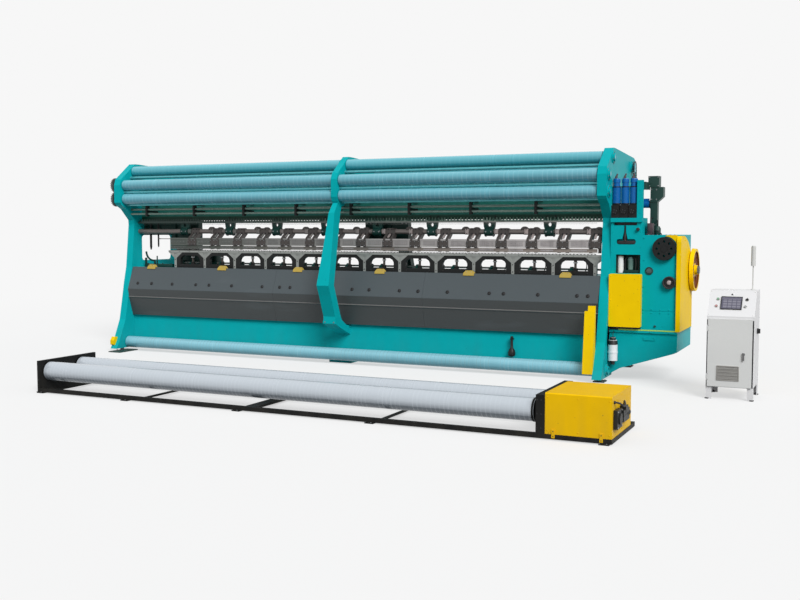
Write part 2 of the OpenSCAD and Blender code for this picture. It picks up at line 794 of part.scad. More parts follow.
module side_cover() {
    x0 = side_x0 + 2;
    x1 = side_x1 + 6;
    color("gold") difference() {
        along_y(-70, 70) polygon(round_rect(x0, 585, x1, 1150, 10));
        along_y(-62, 63) polygon(round_rect(x0 + 6, 591, x1 - 6, 1144, 8));
    }
}

motor_xs = [for (i = [0:2]) side_x0 + 44 + i * (2 * motor_r + 8)];
motor_y = 60;

module let_off_motors() {
    z0 = shelf_z + 147;
    color("royalblue") for (x = motor_xs) union() {
        rod_z(motor_r, z0, z0 + 190, [x, motor_y]);
        rod_z(motor_r - 8, z0 + 185, z0 + 230, [x, motor_y]);
        rod_z(motor_r - 3, z0 + 230, z0 + 262, [x, motor_y]);
    }
}

module motor_gearboxes() {
    color("black") for (x = motor_xs) union() {
        block([x - motor_r + 1, motor_y - 64, shelf_z], [x + motor_r - 1, motor_y + 100, shelf_z + 135]);
        block([x - motor_r + 6, motor_y - 40, shelf_z + 130], [x + motor_r - 6, motor_y + 40, shelf_z + 147]);
        rod_y(26, motor_y - 82, motor_y - 62, [x, shelf_z + 70]);
    }
}

module drive_housing() {
    color("darkturquoise") difference() {
        union() {
            block([side_x1, 0, ledge_z + 22], [drive_x1, drive_d, drive_top]);
            block([side_x1, -6, ledge_z], [drive_x1, drive_d, ledge_z + 22]);
            rod_y(40, -8, 2, disc_centre);
            rod_y(30, -8, 2, wheel_centre);
            rod_y(11, -8, 2, [side_x1 + 150, 600]);
        }
        block([side_x1 - 1, -1, 758], [drive_x1 + 1, 4, 762]);
        rod_y(36, -1, 30, [side_x1 + 77, 1185]);
        rod_y(15 + running, -10, 90, disc_centre);
        rod_y(10 + running, -10, 70, wheel_centre);
        rod_x(shaft_r + running, side_x1 - 1, drive_x1 + 1, main_axis);
    }
}

module drive_bracket() {
    right = drive_x1 + 16;
    color("darkcyan") union() {
        difference() {
            along_y(0, drive_d) polygon([[side_x0, 62], [side_x0 + 118, 133], [drive_x1 - 25, 312],
                [right, 330], [right, ledge_z - ledge_t + 5], [side_x0, ledge_z - ledge_t + 5]]);
            for (y = [40, drive_d / 2 + 15])
                along_y(y, drive_d / 2 - 40) polygon([[side_x0 + 30, 120], [side_x0 + 110, 168],
                    [drive_x1 - 30, 348], [right - 30, 358], [right - 30, ledge_z - ledge_t - 40],
                    [side_x0 + 30, ledge_z - ledge_t - 40]]);
            block([side_x0 + 30, drive_d - 40, 360], [right - 30, drive_d + 1, ledge_z - ledge_t - 40]);
        }
        block([side_x0, -18, ledge_z - ledge_t], [drive_x1 + 20, drive_d + 20, ledge_z]);
        along_y(-8, 10) polygon(round_rect(side_x1 + 30, 446, side_x1 + 157, 483, 6));
    }
}

module pattern_disc() {
    color("black") difference() {
        union() {
            rod_y(disc_r, -50, -14, disc_centre);
            rod_y(disc_r - 14, -54, -48, disc_centre);
            rod_y(34, -62, -10, disc_centre);
            rod_y(15, -12, 80, disc_centre);
        }
        for (a = [0:45:315])
            translate([disc_centre[0], 0, disc_centre[1]]) rotate([0, a, 0])
                rod_y(13, -60, -10, [disc_r * 0.62, 0]);
    }
}

module hand_wheel() {
    color("black") difference() {
        union() {
            rod_y(66, -40, -12, wheel_centre);
            rod_y(10, -14, 60, wheel_centre);
        }
        rod_y(48, -41, -26, wheel_centre);
    }
    color("white") rod_y(22, -38, -26, wheel_centre);
}

module belt_cover() {
    left = drive_x1 - 150;
    low = disc_centre[1] - 20;
    color("gold") difference() {
        union() {
            along_x(drive_x1, belt_t) polygon(concat([[-30, ledge_z + 2]],
                arc([30, drive_top - 70], 60, 180, 90), [[180, drive_top - 10],
                [295, drive_top - 32], [425, drive_top - 78], [556, drive_top - 160],
                [646, drive_top - 260], [700, drive_top - 380], [720, ledge_z + 2]]));
            along_y(-8, 8) polygon(concat([[drive_x1 + 1, low], [drive_x1 + 1, drive_top]],
                arc([left + 60, drive_top - 60], 60, 90, 180), [[left, low]]));
        }
        rod_x(shaft_r + 8, drive_x1 - 1, drive_x1 + belt_t + 1, main_axis);
        rod_y(disc_r + 8, -20, 1, disc_centre);
    }
}

fly_x = drive_x1 + belt_t + 8;
fly_t = 44;

module flywheel() {
    hub_r = shaft_r + 22;
    web = [fly_x + 14, fly_x + 28];
    color("gold") difference() {
        union() {
            rod_x(fly_r, fly_x, fly_x + fly_t, main_axis);
            rod_x(hub_r, fly_x - 4, fly_x + fly_t + 12, main_axis);
        }
        rod_x(shaft_r + running, fly_x - 9, fly_x + fly_t + 13, main_axis);
        for (x = [[fly_x - 1, web[0]], [web[1], fly_x + fly_t + 1]])
            difference() {
                rod_x(fly_r - 32, x[0], x[1], main_axis);
                rod_x(hub_r, x[0] - 5, x[1] + 5, main_axis);
            }
        for (a = [0:60:300])
            translate([0, main_axis[0], main_axis[1]]) rotate([a, 0, 0])
                rod_x(36, fly_x - 1, fly_x + fly_t + 1, [(fly_r - 32 + hub_r) / 2, 0]);
    }
}

module main_shaft() {
    color("silver") union() {
        rod_x(shaft_r, outer_x - 60, fly_x + fly_t + 16, main_axis);
        rod_x(shaft_r - 8, fly_x + fly_t + 14, fly_x + fly_t + 22, main_axis);
    }
}

module shog_unit() {
    x0 = side_x1 + 25;
    color("darkslategray") union() {
        block([x0 - 22, 250, drive_top], [x0 + 66, 370, drive_top + 125]);
        block([x0, 270, drive_top], [x0 + 76, 350, drive_top + 420]);
        along_y(262, 96) polygon([[x0, drive_top + 353], [x0 + 76, drive_top + 353],
            [x0 + 138, drive_top + 410], [x0 + 138, drive_top + 514], [x0, drive_top + 514]]);
        block([x0 - 24, 256, drive_top + 514], [x0 + 92, 366, drive_top + 632]);
        block([side_x1 - 62, 60, drive_top + 486], [side_x1 + 14, 300, drive_top + 564]);
    }
}

module shog_motor() {
    x1 = side_x1 + 25;
    color("midnightblue") union() {
        rod_x(38, x1 - 96, x1, [310, drive_top + 330]);
        rod_x(30, x1 - 118, x1 - 96, [310, drive_top + 330]);
        block([x1 - 80, 290, drive_top + 364], [x1 - 20, 330, drive_top + 392]);
    }
}

// Grease pump on the bracket's front, and the oil canister in the side housing's recess
module lubricator() {
    x = side_x0 + 54;
    y = -62;
    color("white") union() {
        rod_z(50, 220, 398, [x, y]);
        rod_z(20, 180, 221, [x, y]);
        block([x - 20, y + 40, 290], [x + 20, 0, 330]);
    }
    color("black") union() {
        rod_z(44, 398, 440, [x, y]);
        rod_z(30, 439, 470, [x, y]);
    }
    color("white") rod_z(32, 1157, 1340, [side_x0 + 96, 60]);
}

// ---------------------------------------------------------------- batching stand

module batch_stand() {
    rear = batch_y + batch_d;
    web_x = batch_x1 + batch_plate_r - 14;
    tie_z = rail_z + 8;
    color("black") difference() {
        union() {
            for (y = [batch_y, rear - tube_w])
                block([batch_x0, y, rail_z], [batch_end, y + tube_w, rail_z + tube_w]);
            for (x = [batch_x0 + 130, batch_x0 + 1250, batch_x0 + 3770])
                block([x, batch_y + 10, tie_z], [x + 30, rear - 10, tie_z + 15]);
            block([batch_x0 + 2420, batch_y + 10, tie_z], [batch_x0 + 2530, rear - 10, tie_z + 22]);
            block([batch_end - tube_w, batch_y + 10, rail_z], [batch_end, rear - 10, rail_z + tube_w]);
            block([batch_x0, batch_y, rail_z], [batch_x0 + batch_plate_l, rear, 320]);
            block([web_x, batch_y, rail_z], [web_x + 14, rear, 350]);
            block([batch_x1, batch_y, rail_z], [web_x + 5, batch_y + 14, 350]);
            block([batch_x1, rear - 14, rail_z], [web_x + 5, rear, 350]);
            block([batch_x1, batch_y, 338], [web_x + 5, rear, 350]);
            for (axis = [batch_front_axis, batch_back_axis])
                rod_x(batch_r - 8, web_x - 74, web_x + 2, axis);
            for (x = [batch_x0 + 40, batch_x0 + 1100, batch_x0 + 2370, batch_x0 + 3710, batch_end - 60])
                for (y = [batch_y + tube_w / 2, rear - tube_w / 2])
                    block([x - 40, y - 30, 0], [x + 40, y + 30, rail_z + 2]);
        }
        for (axis = [batch_front_axis, batch_back_axis]) {
            rod_x(batch_journal_r + running, batch_x0 - 1, batch_x0 + batch_plate_l + 1, axis);
            rod_x(batch_journal_r + running, web_x - 75, web_x + 15, axis);
        }
    }
}

module batch_roller(axis) {
    left = batch_x0 + batch_plate_l + 12;
    union() {
        rod_x(batch_r, left, left + batch_l, axis);
        rod_x(batch_journal_r, batch_x0 + 2, left + 2, axis);
        rod_x(batch_journal_r, left + batch_l - 2, batch_x1 + batch_plate_r - 2, axis);
    }
}

module batch_roller_front() {
    color("lightgray") batch_roller(batch_front_axis);
}

module batch_roller_back() {
    color("lightgray") batch_roller(batch_back_axis);
}

module batch_drive_cover() {
    x0 = batch_x1 + batch_plate_r;
    z0 = rail_z + tube_w;
    color("gold") union() {
        along_x(x0, 522) polygon([[batch_y + 4, z0], [batch_y + 4, 362], [batch_y + 12, 370],
            [batch_y + 642, 370], [batch_y + 650, 362], [batch_y + 650, z0]]);
        for (x = [x0 + 55, x0 + 430]) {
            block([x, batch_y - 4, rail_z + 10], [x + 26, batch_y, z0 + 40]);
            block([x, batch_y - 4, z0], [x + 26, batch_y + 6, z0 + 40]);
        }
    }
}

motor_x = batch_x1 + batch_plate_r + 522;

module batch_gearmotor() {
    color("dimgray") union() {
        block([motor_x, batch_y + 40, 118], [motor_x + 34, batch_y + 190, 262]);
        rod_x(44, motor_x, motor_x + 46, [batch_y + 115, 190]);
        translate([motor_x + 4, batch_y + 186, 150]) cube([44, 200, 92]);
        rod_y(25, batch_y + 180, batch_y + 420, [motor_x + 26, 196]);
        block([motor_x + 4, batch_y + 250, 214], [motor_x + 50, batch_y + 330, 268]);
    }
}

// Route of the batching motor's lead, from the drive cover to the terminal box
lead_points = [
    [motor_x, batch_y + 60, 322], [motor_x + 10, batch_y + 60, 322], [motor_x + 20, batch_y + 60, 322],
    [motor_x + 42, batch_y + 64, 318], [motor_x + 60, batch_y + 84, 302], [motor_x + 66, batch_y + 120, 290],
    [motor_x + 62, batch_y + 170, 292], [motor_x + 46, batch_y + 225, 302],
    [motor_x + 32, batch_y + 268, 304],
    [motor_x + 26, batch_y + 290, 294], [motor_x + 26, batch_y + 290, 281], [motor_x + 26, batch_y + 290, 268]
];
lead_r = 7;
lead_steps = 4;

function spline(p, i, t) = let (
    a = p[max(i - 1, 0)], b = p[i], c = p[i + 1], d = p[min(i + 2, len(p) - 1)]
) 0.5 * (2 * b + (c - a) * t + (2 * a - 5 * b + 4 * c - d) * t * t + (3 * b - a - 3 * c + d) * t * t * t);

function smooth_route(p, n) = concat(
    [for (i = [0:len(p) - 2], k = [0:n - 1]) spline(p, i, k / n)], [p[len(p) - 1]]);

function heading(p, i) = unit(p[min(i + 1, len(p) - 1)] - p[max(i - 1, 0)]);

// Ring directions carried along the route without twist
function carried(p, i, side) = let (t = heading(p, i)) unit(side - (side * t) * t);
function sides(p, i, side) = i == len(p) ? [] :
    let (s = carried(p, i, side)) concat([s], sides(p, i + 1, s));

module swept_tube(p, r, n, first_side) {
    side = sides(p, 0, first_side);
    rings = [for (i = [0:len(p) - 1], k = [0:n - 1])
        p[i] + r * (cos(k * 360 / n) * side[i] + sin(k * 360 / n) * cross(heading(p, i), side[i]))];
    skin = [for (i = [0:len(p) - 2], k = [0:n - 1])
        [i * n + k, (i + 1) * n + k, (i + 1) * n + (k + 1) % n, i * n + (k + 1) % n]];
    polyhedron(rings, concat(skin, [[for (k = [0:n - 1]) k]],
        [[for (k = [n - 1:-1:0]) (len(p) - 1) * n + k]]));
}

module batch_motor_lead() {
    color("black") swept_tube(smooth_route(lead_points, lead_steps), lead_r, 10, [0, 0, 1]);
}

// ---------------------------------------------------------------- control cabinet

// Places a piece on the sloping console, x from the cabinet's left side and up the slope
module on_console(x, up) {
    translate([cab_x + x, cab_y, console_z]) rotate([90 - console_tilt, 0, 0])
        translate([0, up, 0]) children();
}

button_spots = [[84, 193], [74, 113], [340, 113]];
selector_spot = [350, 193];
screen_x = [120, 300];
screen_up = [84, 214];

module cabinet_shell() {
    x1 = cab_x + cab_w;
    y1 = cab_y + cab_d;
    color("gainsboro") difference() {
        union() {
            along_x(cab_x, cab_w) polygon([[cab_y, cab_bottom], [cab_y, console_z],
                [cab_y + console_run, cab_top], [y1, cab_top], [y1, cab_bottom]]);
            for (x = [cab_x, x1 - 54], y = [cab_y, y1 - 54])
                block([x, y, 0], [x + 54, y + 54, cab_bottom + 1]);
            for (z = [door_z0 + 60, door_z1 - 120]) {
                for (dz = [0, 52])
                    block([hinge_at[0] - 6, hinge_at[1] - 6, z + dz],
                        [hinge_at[0] + 6, cab_y + 1, z + dz + 8]);
                rod_z(4, z, z + 60, hinge_at);
            }
            on_console(218, 252) cylinder(r = 9, h = 8);
            rod_z(8, cab_top - 1, cab_top + 12, [cab_x + 164, cab_y + console_run + 40]);
        }
        difference() {
            block([cab_x + cab_wall, cab_y - 1, cab_bottom + cab_wall],
                [x1 - cab_wall, y1 - cab_wall, cab_door_top - 20]);
            block([cab_x + 40, y1 - cab_wall - 16, cab_bottom + 50], [x1 - 40, y1, cab_door_top - 60]);
        }
        for (x = [cab_x + 9, x1 - 54 - 1], y = [cab_y + 9, y1 - 54 - 1])
            block([x, y, -1], [x + 46, y + 46, cab_bottom - 6]);
        for (spot = concat(button_spots, [selector_spot]))
            on_console(spot[0], spot[1]) translate([0, 0, -30]) cylinder(r = button_r - 3 + running, h = 31);
        rod_x(9 + running, x1 - 30, x1 + 1, [cab_y + 250, 648]);
    }
}

module cabinet_door() {
    y0 = cab_y - door_gap - door_t;
    y1 = cab_y - door_gap;
    vent = [cab_x + 106, 195, cab_x + 297, 320];
    color("whitesmoke") difference() {
        union() {
            block([door_x0, y0, door_z0], [door_x1, y1, door_z1]);
            for (z = [door_z0 + 60, door_z1 - 120])
                rod_z(8, z + 8 + gap, z + 52 - gap, hinge_at);
        }
        block([door_x0 + 16, y0 + 3, door_z0 + 12], [door_x1 - 12, y1 + 1, door_z1 - 12]);
        for (z = [door_z0 + 60, door_z1 - 120]) {
            rod_z(4 + running, z - 1, z + 61, hinge_at);
            for (dz = [-gap, 52 - gap])
                block([hinge_at[0] - 8, hinge_at[1] - 10, z + dz],
                    [hinge_at[0] + 10, y1 + 1, z + dz + 8 + 2 * gap]);
        }
        for (i = [0:7])
            block([vent[0], y0 - 1, vent[1] + i * 16], [vent[2], y0 + 4, vent[1] + i * 16 + 8]);
        rod_y(7 + running, y0 - 1, y0 + 4, [cab_x + 342, 445]);
    }
}

module door_handle() {
    at = [cab_x + 342, 445];
    y0 = cab_y - door_gap - door_t;
    color("dimgray") union() {
        rod_y(14, y0 - 9, y0 - gap, at);
        rod_y(7, y0 - 1, y0 + 12, at);
        block([at[0] - 9, y0 - 16, at[1] - 58], [at[0] + 9, y0 - 8, at[1] + 14]);
        block([at[0] - 14, y0 + 8, at[1] - 6], [at[0] + 14, y0 + 12, at[1] + 6]);
    }
}

module operator_screen() {
    color("midnightblue") on_console(0, 0) translate([screen_x[0], screen_up[0], 0])
        cube([screen_x[1] - screen_x[0], screen_up[1] - screen_up[0], 8]);
}

module push_button(i) {
    on_console(button_spots[i][0], button_spots[i][1]) union() {
        translate([0, 0, 4 + gap]) cylinder(r = button_r, h = 9);
        translate([0, 0, -20]) cylinder(r = button_r - 3, h = 26);
    }
}

module push_button_1() {
    color("silver") push_button(0);
}

module push_button_2() {
    color("silver") push_button(1);
}

module push_button_3() {
    color("silver") push_button(2);
}

module selector_switch() {
    color("black") on_console(selector_spot[0], selector_spot[1]) union() {
        translate([0, 0, gap]) cylinder(r = button_r + 2, h = 8);
        translate([0, 0, -20]) cylinder(r = button_r - 3, h = 22);
        translate([-3.5, -button_r, 6]) cube([7, 2 * button_r, 12]);
    }
}

module main_switch() {
    x1 = cab_x + cab_w;
    color("black") union() {
        rod_x(26, x1 + gap, x1 + 14, [cab_y + 250, 648]);
        rod_x(9, x1 - 24, x1 + 4, [cab_y + 250, 648]);
        block([x1 + 12, cab_y + 242, 626], [x1 + 30, cab_y + 258, 670]);
    }
}

module beacon() {
    at = [cab_x + 370, cab_y + cab_d - 70];
    color("lightgray") union() {
        rod_z(18, cab_top, cab_top + 8, at);
        rod_z(6, cab_top + 4, cab_top + 238, at);
        rod_z(22, cab_top + 233, cab_top + 420, at);
        rod_z(18, cab_top + 419, cab_top + 428, at);
    }
}

left_end_frame();
right_end_frame();
centre_post();
machine_bed();
upper_beam();
front_covers();
cover_tabs();
levelling_feet();
feed_roller_top();
feed_roller_mid();
feed_roller_low();
rear_feed_roller();
chain_sprocket();
feed_gear_mid();
feed_gear_low();
feed_chain();
guide_rods();
rod_brackets();
yarn_comb_rail();
hanger_brackets();
swing_shaft();
rocker_arms();
guide_bar_upper();
guide_bar_lower();
needle_bar();
knock_over_bar();
arch_brackets();
arch_pillars();
take_up_roller();
take_up_guards();
side_housing();
side_cover();
let_off_motors();
motor_gearboxes();
drive_housing();
drive_bracket();
pattern_disc();
hand_wheel();
belt_cover();
flywheel();
main_shaft();
shog_unit();
shog_motor();
lubricator();
batch_stand();
batch_roller_front();
batch_roller_back();
batch_drive_cover();
batch_gearmotor();
batch_motor_lead();
cabinet_shell();
cabinet_door();
door_handle();
operator_screen();
push_button_1();
push_button_2();
push_button_3();
selector_switch();
main_switch();
beacon();
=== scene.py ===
from math import acos, atan2, cos, pi, radians, sin, tau

import bmesh
import bpy
from mathutils import Matrix, Vector


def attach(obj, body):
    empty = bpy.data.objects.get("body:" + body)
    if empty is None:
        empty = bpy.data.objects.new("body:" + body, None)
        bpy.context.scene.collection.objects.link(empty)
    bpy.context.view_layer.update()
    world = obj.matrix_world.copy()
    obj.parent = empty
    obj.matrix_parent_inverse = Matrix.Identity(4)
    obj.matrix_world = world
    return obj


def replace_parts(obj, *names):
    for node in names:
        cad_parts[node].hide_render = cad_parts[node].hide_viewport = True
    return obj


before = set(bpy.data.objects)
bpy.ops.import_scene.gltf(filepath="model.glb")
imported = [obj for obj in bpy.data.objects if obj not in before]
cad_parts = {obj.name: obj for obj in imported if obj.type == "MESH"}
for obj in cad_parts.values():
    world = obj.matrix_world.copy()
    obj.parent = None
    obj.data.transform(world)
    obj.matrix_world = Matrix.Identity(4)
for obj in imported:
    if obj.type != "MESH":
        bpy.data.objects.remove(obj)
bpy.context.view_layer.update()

# ---------------------------------------------------------------- the view
# The viewer stands in front of the drive end, a little higher than the flywheel,
# and looks along the machine towards its far left end.
bpy.ops.object.camera_add(location=(5.85, -10.69, 1.63), rotation=(radians(85.93), 0, radians(25.3)))
viewer = bpy.context.object
viewer.data.lens = 45
viewer.data.sensor_width = 36
bpy.context.scene.camera = viewer
bpy.context.scene.view_settings.view_transform = "Standard"


# ---------------------------------------------------------------- floor and light
# A pale sealed floor under a bright, even hall light, with one broad lamp
# high at the front that gives the sheet work its soft shadows.
class Line:
    """One value running through a finish. Sums on it are worked out by the finish."""

    def __init__(self, finish, socket):
        self.finish = finish
        self.socket = socket

    def worked(self, operation, first, second):
        return self.finish.node("Math", {"operation": operation}, {0: first, 1: second})

    def __add__(self, other):
        return self.worked("ADD", self, other)

    def __radd__(self, other):
        return self.worked("ADD", other, self)

    def __sub__(self, other):
        return self.worked("SUBTRACT", self, other)

    def __rsub__(self, other):
        return self.worked("SUBTRACT", other, self)

    def __mul__(self, other):
        return self.worked("MULTIPLY", self, other)

    def __rmul__(self, other):
        return self.worked("MULTIPLY", other, self)

    def __truediv__(self, other):
        return self.worked("DIVIDE", self, other)

    def __pow__(self, other):
        return self.worked("POWER", self, other)


class Finish:
    """The finish of one kind of surface, mixed from shader nodes."""

    def __init__(self, name, plain=None):
        self.material = bpy.data.materials.new(name)
        self.material.use_nodes = True
        self.tree = self.material.node_tree
        self.skin = self.tree.nodes["Principled BSDF"]
        for socket, value in (plain or {}).items():
            self.skin.inputs[socket].default_value = value
        self.place = self.node("TexCoord", output="Object")

    def node(self, kind, settings=None, inputs=None, output=0):
        made = self.tree.nodes.new("ShaderNode" + kind)
        for name, value in (settings or {}).items():
            setattr(made, name, value)
        for name, value in (inputs or {}).items():
            if isinstance(value, Line):
                self.tree.links.new(value.socket, made.inputs[name])
            else:
                made.inputs[name].default_value = value
        return Line(self, made.outputs[output])

    def along(self, axis):
        return self.node("SeparateXYZ", {}, {0: self.place}, axis)

    def mottle(self, scale, detail=3.0, stretch=(1, 1, 1)):
        spread = self.node("Mapping", {}, {"Vector": self.place, "Scale": stretch})
        return self.node("TexNoise", {}, {"Vector": spread, "Scale": scale, "Detail": detail})

    def step(self, value, edge, width):
        """0 below the edge, 1 above it, with a soft run between."""
        return self.node("Clamp", {}, {"Value": (value - edge) / width + 0.5})

    def mixed(self, share, first, second):
        ends = {0: share, 6: first, 7: second}
        return self.node("Mix", {"data_type": "RGBA"}, ends, 2)

    def bumped(self, height, strength, depth):
        return self.node("Bump", {}, {"Height": height, "Strength": strength, "Distance": depth})

    def tone(self):
        """The colour laid so far."""
        return Line(self, self.skin.inputs["Base Color"].links[0].from_socket)

    def lay(self, **sockets):
        """Feeds the surface: colour, roughness, metallic, normal, glow."""
        names = {"colour": "Base Color", "roughness": "Roughness", "metallic": "Metallic",
                 "normal": "Normal", "glow": "Emission Color"}
        for name, value in sockets.items():
            self.tree.links.new(value.socket, self.skin.inputs[names[name]])
        return self


def tint(colour, share):
    """A colour made lighter or darker by a share of itself."""
    return tuple(min(part * share, 1) for part in colour[:3]) + (1,)


hall_white = (0.93, 0.93, 0.93, 1)
bpy.ops.object.select_all(action="DESELECT")
bpy.ops.mesh.primitive_plane_add(size=300, location=(0, 0, 0))
shop_floor = bpy.context.object
shop_floor.name = "shop_floor"
sealed = Finish("sealed_floor")
end = sealed.tree.nodes["Material Output"]
away = sealed.node("VectorMath", {"operation": "LENGTH"}, {0: sealed.place}, "Value")
pale = sealed.node("BsdfDiffuse", {}, {"Color": (0.86, 0.86, 0.86, 1)})
dull = sealed.node("BsdfDiffuse", {}, {"Color": (0.14, 0.14, 0.14, 1)})
bright = sealed.node("Emission", {}, {"Color": hall_white, "Strength": 1.0})
shade_share = 0.62 + 0.38 * sealed.step(away, 11, 6)
seen = sealed.node("MixShader", {}, {0: shade_share, 1: pale, 2: bright})
bounced = sealed.node("LightPath", output="Is Diffuse Ray")
both = sealed.node("MixShader", {}, {0: bounced, 1: seen, 2: dull})
sealed.tree.links.new(both.socket, end.inputs["Surface"])
shop_floor.data.materials.append(sealed.material)

hall = bpy.data.worlds.new("hall")
bpy.context.scene.world = hall
hall.use_nodes = True
sky = hall.node_tree.nodes
ray = sky.new("ShaderNodeLightPath")
shown = sky.new("ShaderNodeMath")
shown.operation = "MAXIMUM"
shown_too = sky.new("ShaderNodeMath")
shown_too.operation = "MAXIMUM"
seen_walls = sky.new("ShaderNodeBackground")
seen_walls.inputs["Color"].default_value = hall_white
lit_walls = sky["Background"]
lit_walls.inputs["Color"].default_value = (0.985, 0.995, 1, 1)
lit_walls.inputs["Strength"].default_value = 0.50
either = sky.new("ShaderNodeMixShader")
join_up = hall.node_tree.links.new
join_up(ray.outputs["Is Camera Ray"], shown.inputs[0])
join_up(ray.outputs["Is Glossy Ray"], shown.inputs[1])
join_up(shown.outputs[0], shown_too.inputs[0])
join_up(ray.outputs["Is Transmission Ray"], shown_too.inputs[1])
join_up(shown_too.outputs[0], either.inputs[0])
join_up(lit_walls.outputs[0], either.inputs[1])
join_up(seen_walls.outputs[0], either.inputs[2])
join_up(either.outputs[0], sky["World Output"].inputs["Surface"])

lamp_side = Vector((0.62, -0.66, 0.70))
bpy.ops.object.light_add(type="SUN", location=lamp_side * 12,
                         rotation=lamp_side.to_track_quat("Z", "Y").to_euler())
lamp = bpy.context.object.data
lamp.energy = 2.85
lamp.angle = radians(28)


# ---------------------------------------------------------------- end frames, centre post and bed
# Iron castings in glossy teal enamel, bolted through their pockets to the box-section bed and beam.
# Each journal turns in a boss of the frame, held by a ring of bolts.
def enamel(name, colour, gloss=0.34, specular=0.35, dust=0.5, peel=0.12, worn=None):
    """Sprayed enamel: slow drifts of tone, orange peel, faint runs, and dust low on the machine."""
    coat = Finish(name, {"Specular IOR Level": specular})
    drift = coat.mottle(0.7, 4)
    cloud = coat.mottle(9, 5)
    runs = coat.mottle(3.0, 4, (3.5, 3.5, 0.35))
    low = 1 - coat.step(coat.along("Z"), 0.22, 0.5)
    grime = coat.node("Clamp", {}, {"Value": low * (runs * 1.5 - 0.35) * dust})
    tone = coat.mixed(0.55 * drift + 0.45 * cloud, tint(colour, 0.86), tint(colour, 1.14))
    dirty = coat.mixed(grime, tone, (0.085, 0.078, 0.062, 1))
    chips = coat.step(coat.mottle(46, 6), 0.715, 0.02)
    chipped = coat.mixed(chips * 0.75, dirty, worn or tint(colour, 0.45))
    skin = coat.mottle(210, 2)
    rough = gloss + 0.16 * (cloud - 0.5) + 0.3 * grime + 0.25 * chips
    return coat.lay(colour=chipped, roughness=rough,
                    normal=coat.bumped(skin - 0.6 * chips, peel, 0.0006))


def dress(finish, *names):
    for name in names:
        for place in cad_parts[name].material_slots:
            place.material = finish.material


teal = enamel("teal_enamel", (0.002, 0.385, 0.415), 0.36, 0.04, 0.25)
dress(teal, "left_end_frame", "right_end_frame", "centre_post", "machine_bed")


def clear_bench():
    """Nothing is picked up, so that the next tool works on its own piece only."""
    if bpy.context.object and bpy.context.object.mode != "OBJECT":
        bpy.ops.object.mode_set(mode="OBJECT")
    bpy.ops.object.select_all(action="DESELECT")


def pick(kind, wanted):
    """Picks the faces, edges or corners, of the piece being shaped, that pass the test."""
    mesh = bmesh.from_edit_mesh(bpy.context.object.data)
    bpy.ops.mesh.select_mode(type={"faces": "FACE", "edges": "EDGE", "verts": "VERT"}[kind])
    bpy.ops.mesh.select_all(action="DESELECT")
    for item in getattr(mesh, kind):
        item.select_set(bool(wanted(item)))
    mesh.select_flush_mode()
    bmesh.update_edit_mesh(bpy.context.object.data)


def aimed(spot, heading, turn=0.0):
    facing = Vector(heading).to_track_quat("Z", "Y").to_matrix().to_4x4()
    return Matrix.Translation(spot) @ facing @ Matrix.Rotation(turn, 4, "Z")


def turned(steps, spot=(0, 0, 0), heading=(0, 0, 1), sides=32, bored=False):
    """Turns a piece on the lathe from (length, radius) steps along its heading. Bored, it is a ring."""
    clear_bench()
    length, radius = steps[0]
    bpy.ops.mesh.primitive_circle_add(vertices=sides, radius=radius, location=(0, 0, length),
                                      fill_type="NOTHING" if bored else "NGON")
    bpy.ops.object.transform_apply()
    bpy.ops.object.mode_set(mode="EDIT")
    bpy.ops.mesh.select_all(action="SELECT")
    for next_length, next_radius in steps[1:]:
        bpy.ops.mesh.extrude_region_move(
            TRANSFORM_OT_translate={"value": (0, 0, next_length - length)})
        if next_radius != radius:
            share = next_radius / radius
            bpy.ops.transform.resize(value=(share, share, 1), center_override=(0, 0, next_length))
        length, radius = next_length, next_radius
    if bored:
        bpy.ops.mesh.select_all(action="DESELECT")
        bpy.ops.mesh.select_non_manifold(extend=False, use_wire=False, use_multi_face=False,
                                         use_non_contiguous=False, use_verts=False)
        bpy.ops.mesh.bridge_edge_loops()
    bpy.ops.mesh.select_all(action="SELECT")
    bpy.ops.mesh.normals_make_consistent(inside=False)
    bpy.ops.object.mode_set(mode="OBJECT")
    bpy.context.object.matrix_world = aimed(spot, heading)
    bpy.ops.object.transform_apply()
    return bpy.context.object


def welded(*parts):
    """Joins the parts into one piece."""
    clear_bench()
    for part in parts:
        part.select_set(True)
    bpy.context.view_layer.objects.active = parts[0]
    if len(parts) > 1:
        bpy.ops.object.join()
    return bpy.context.object


def set_out(pattern, spots):
    """Sets a copy of the pattern at every spot and joins them. The pattern itself is used up."""
    copies = []
    for spot in spots:
        copy = pattern.copy()
        copy.data = pattern.data.copy()
        bpy.context.scene.collection.objects.link(copy)
        copy.matrix_world = spot
        copies.append(copy)
    bpy.data.objects.remove(pattern)
    joined = welded(*copies)
    bpy.ops.object.transform_apply()
    return joined


def fitted(piece, name, body, finish, smooth=32):
    """Names the piece, gives it its finish, and fixes it to its body."""
    clear_bench()
    piece.select_set(True)
    bpy.context.view_layer.objects.active = piece
    bpy.ops.object.transform_apply()
    piece.name = name
    piece.data.materials.clear()
    piece.data.materials.append(finish.material)
    bpy.ops.object.shade_smooth_by_angle(angle=radians(smooth))
    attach(piece, body)
    return piece


def zinc_finish(name, colour, rough=0.36, metal=0.75):
    """Plated or oiled steel with a faint brushed lay."""
    plate = Finish(name, {"Metallic": metal})
    cloud = plate.mottle(60, 5)
    lay = plate.mottle(180, 2, (1, 1, 7))
    shade = plate.mixed(cloud, tint(colour, 0.7), tint(colour, 1.2))
    return plate.lay(colour=shade, roughness=rough + 0.2 * (cloud - 0.5),
                     normal=plate.bumped(lay, 0.15, 0.0003))


bolt_steel = zinc_finish("oiled_bolt_steel", (0.2, 0.21, 0.22, 1))
plated_screw = zinc_finish("plated_screw", (0.55, 0.55, 0.53, 1), 0.3)
black_screw = zinc_finish("blacked_screw", (0.005, 0.005, 0.006, 1), 0.7, 0.0)


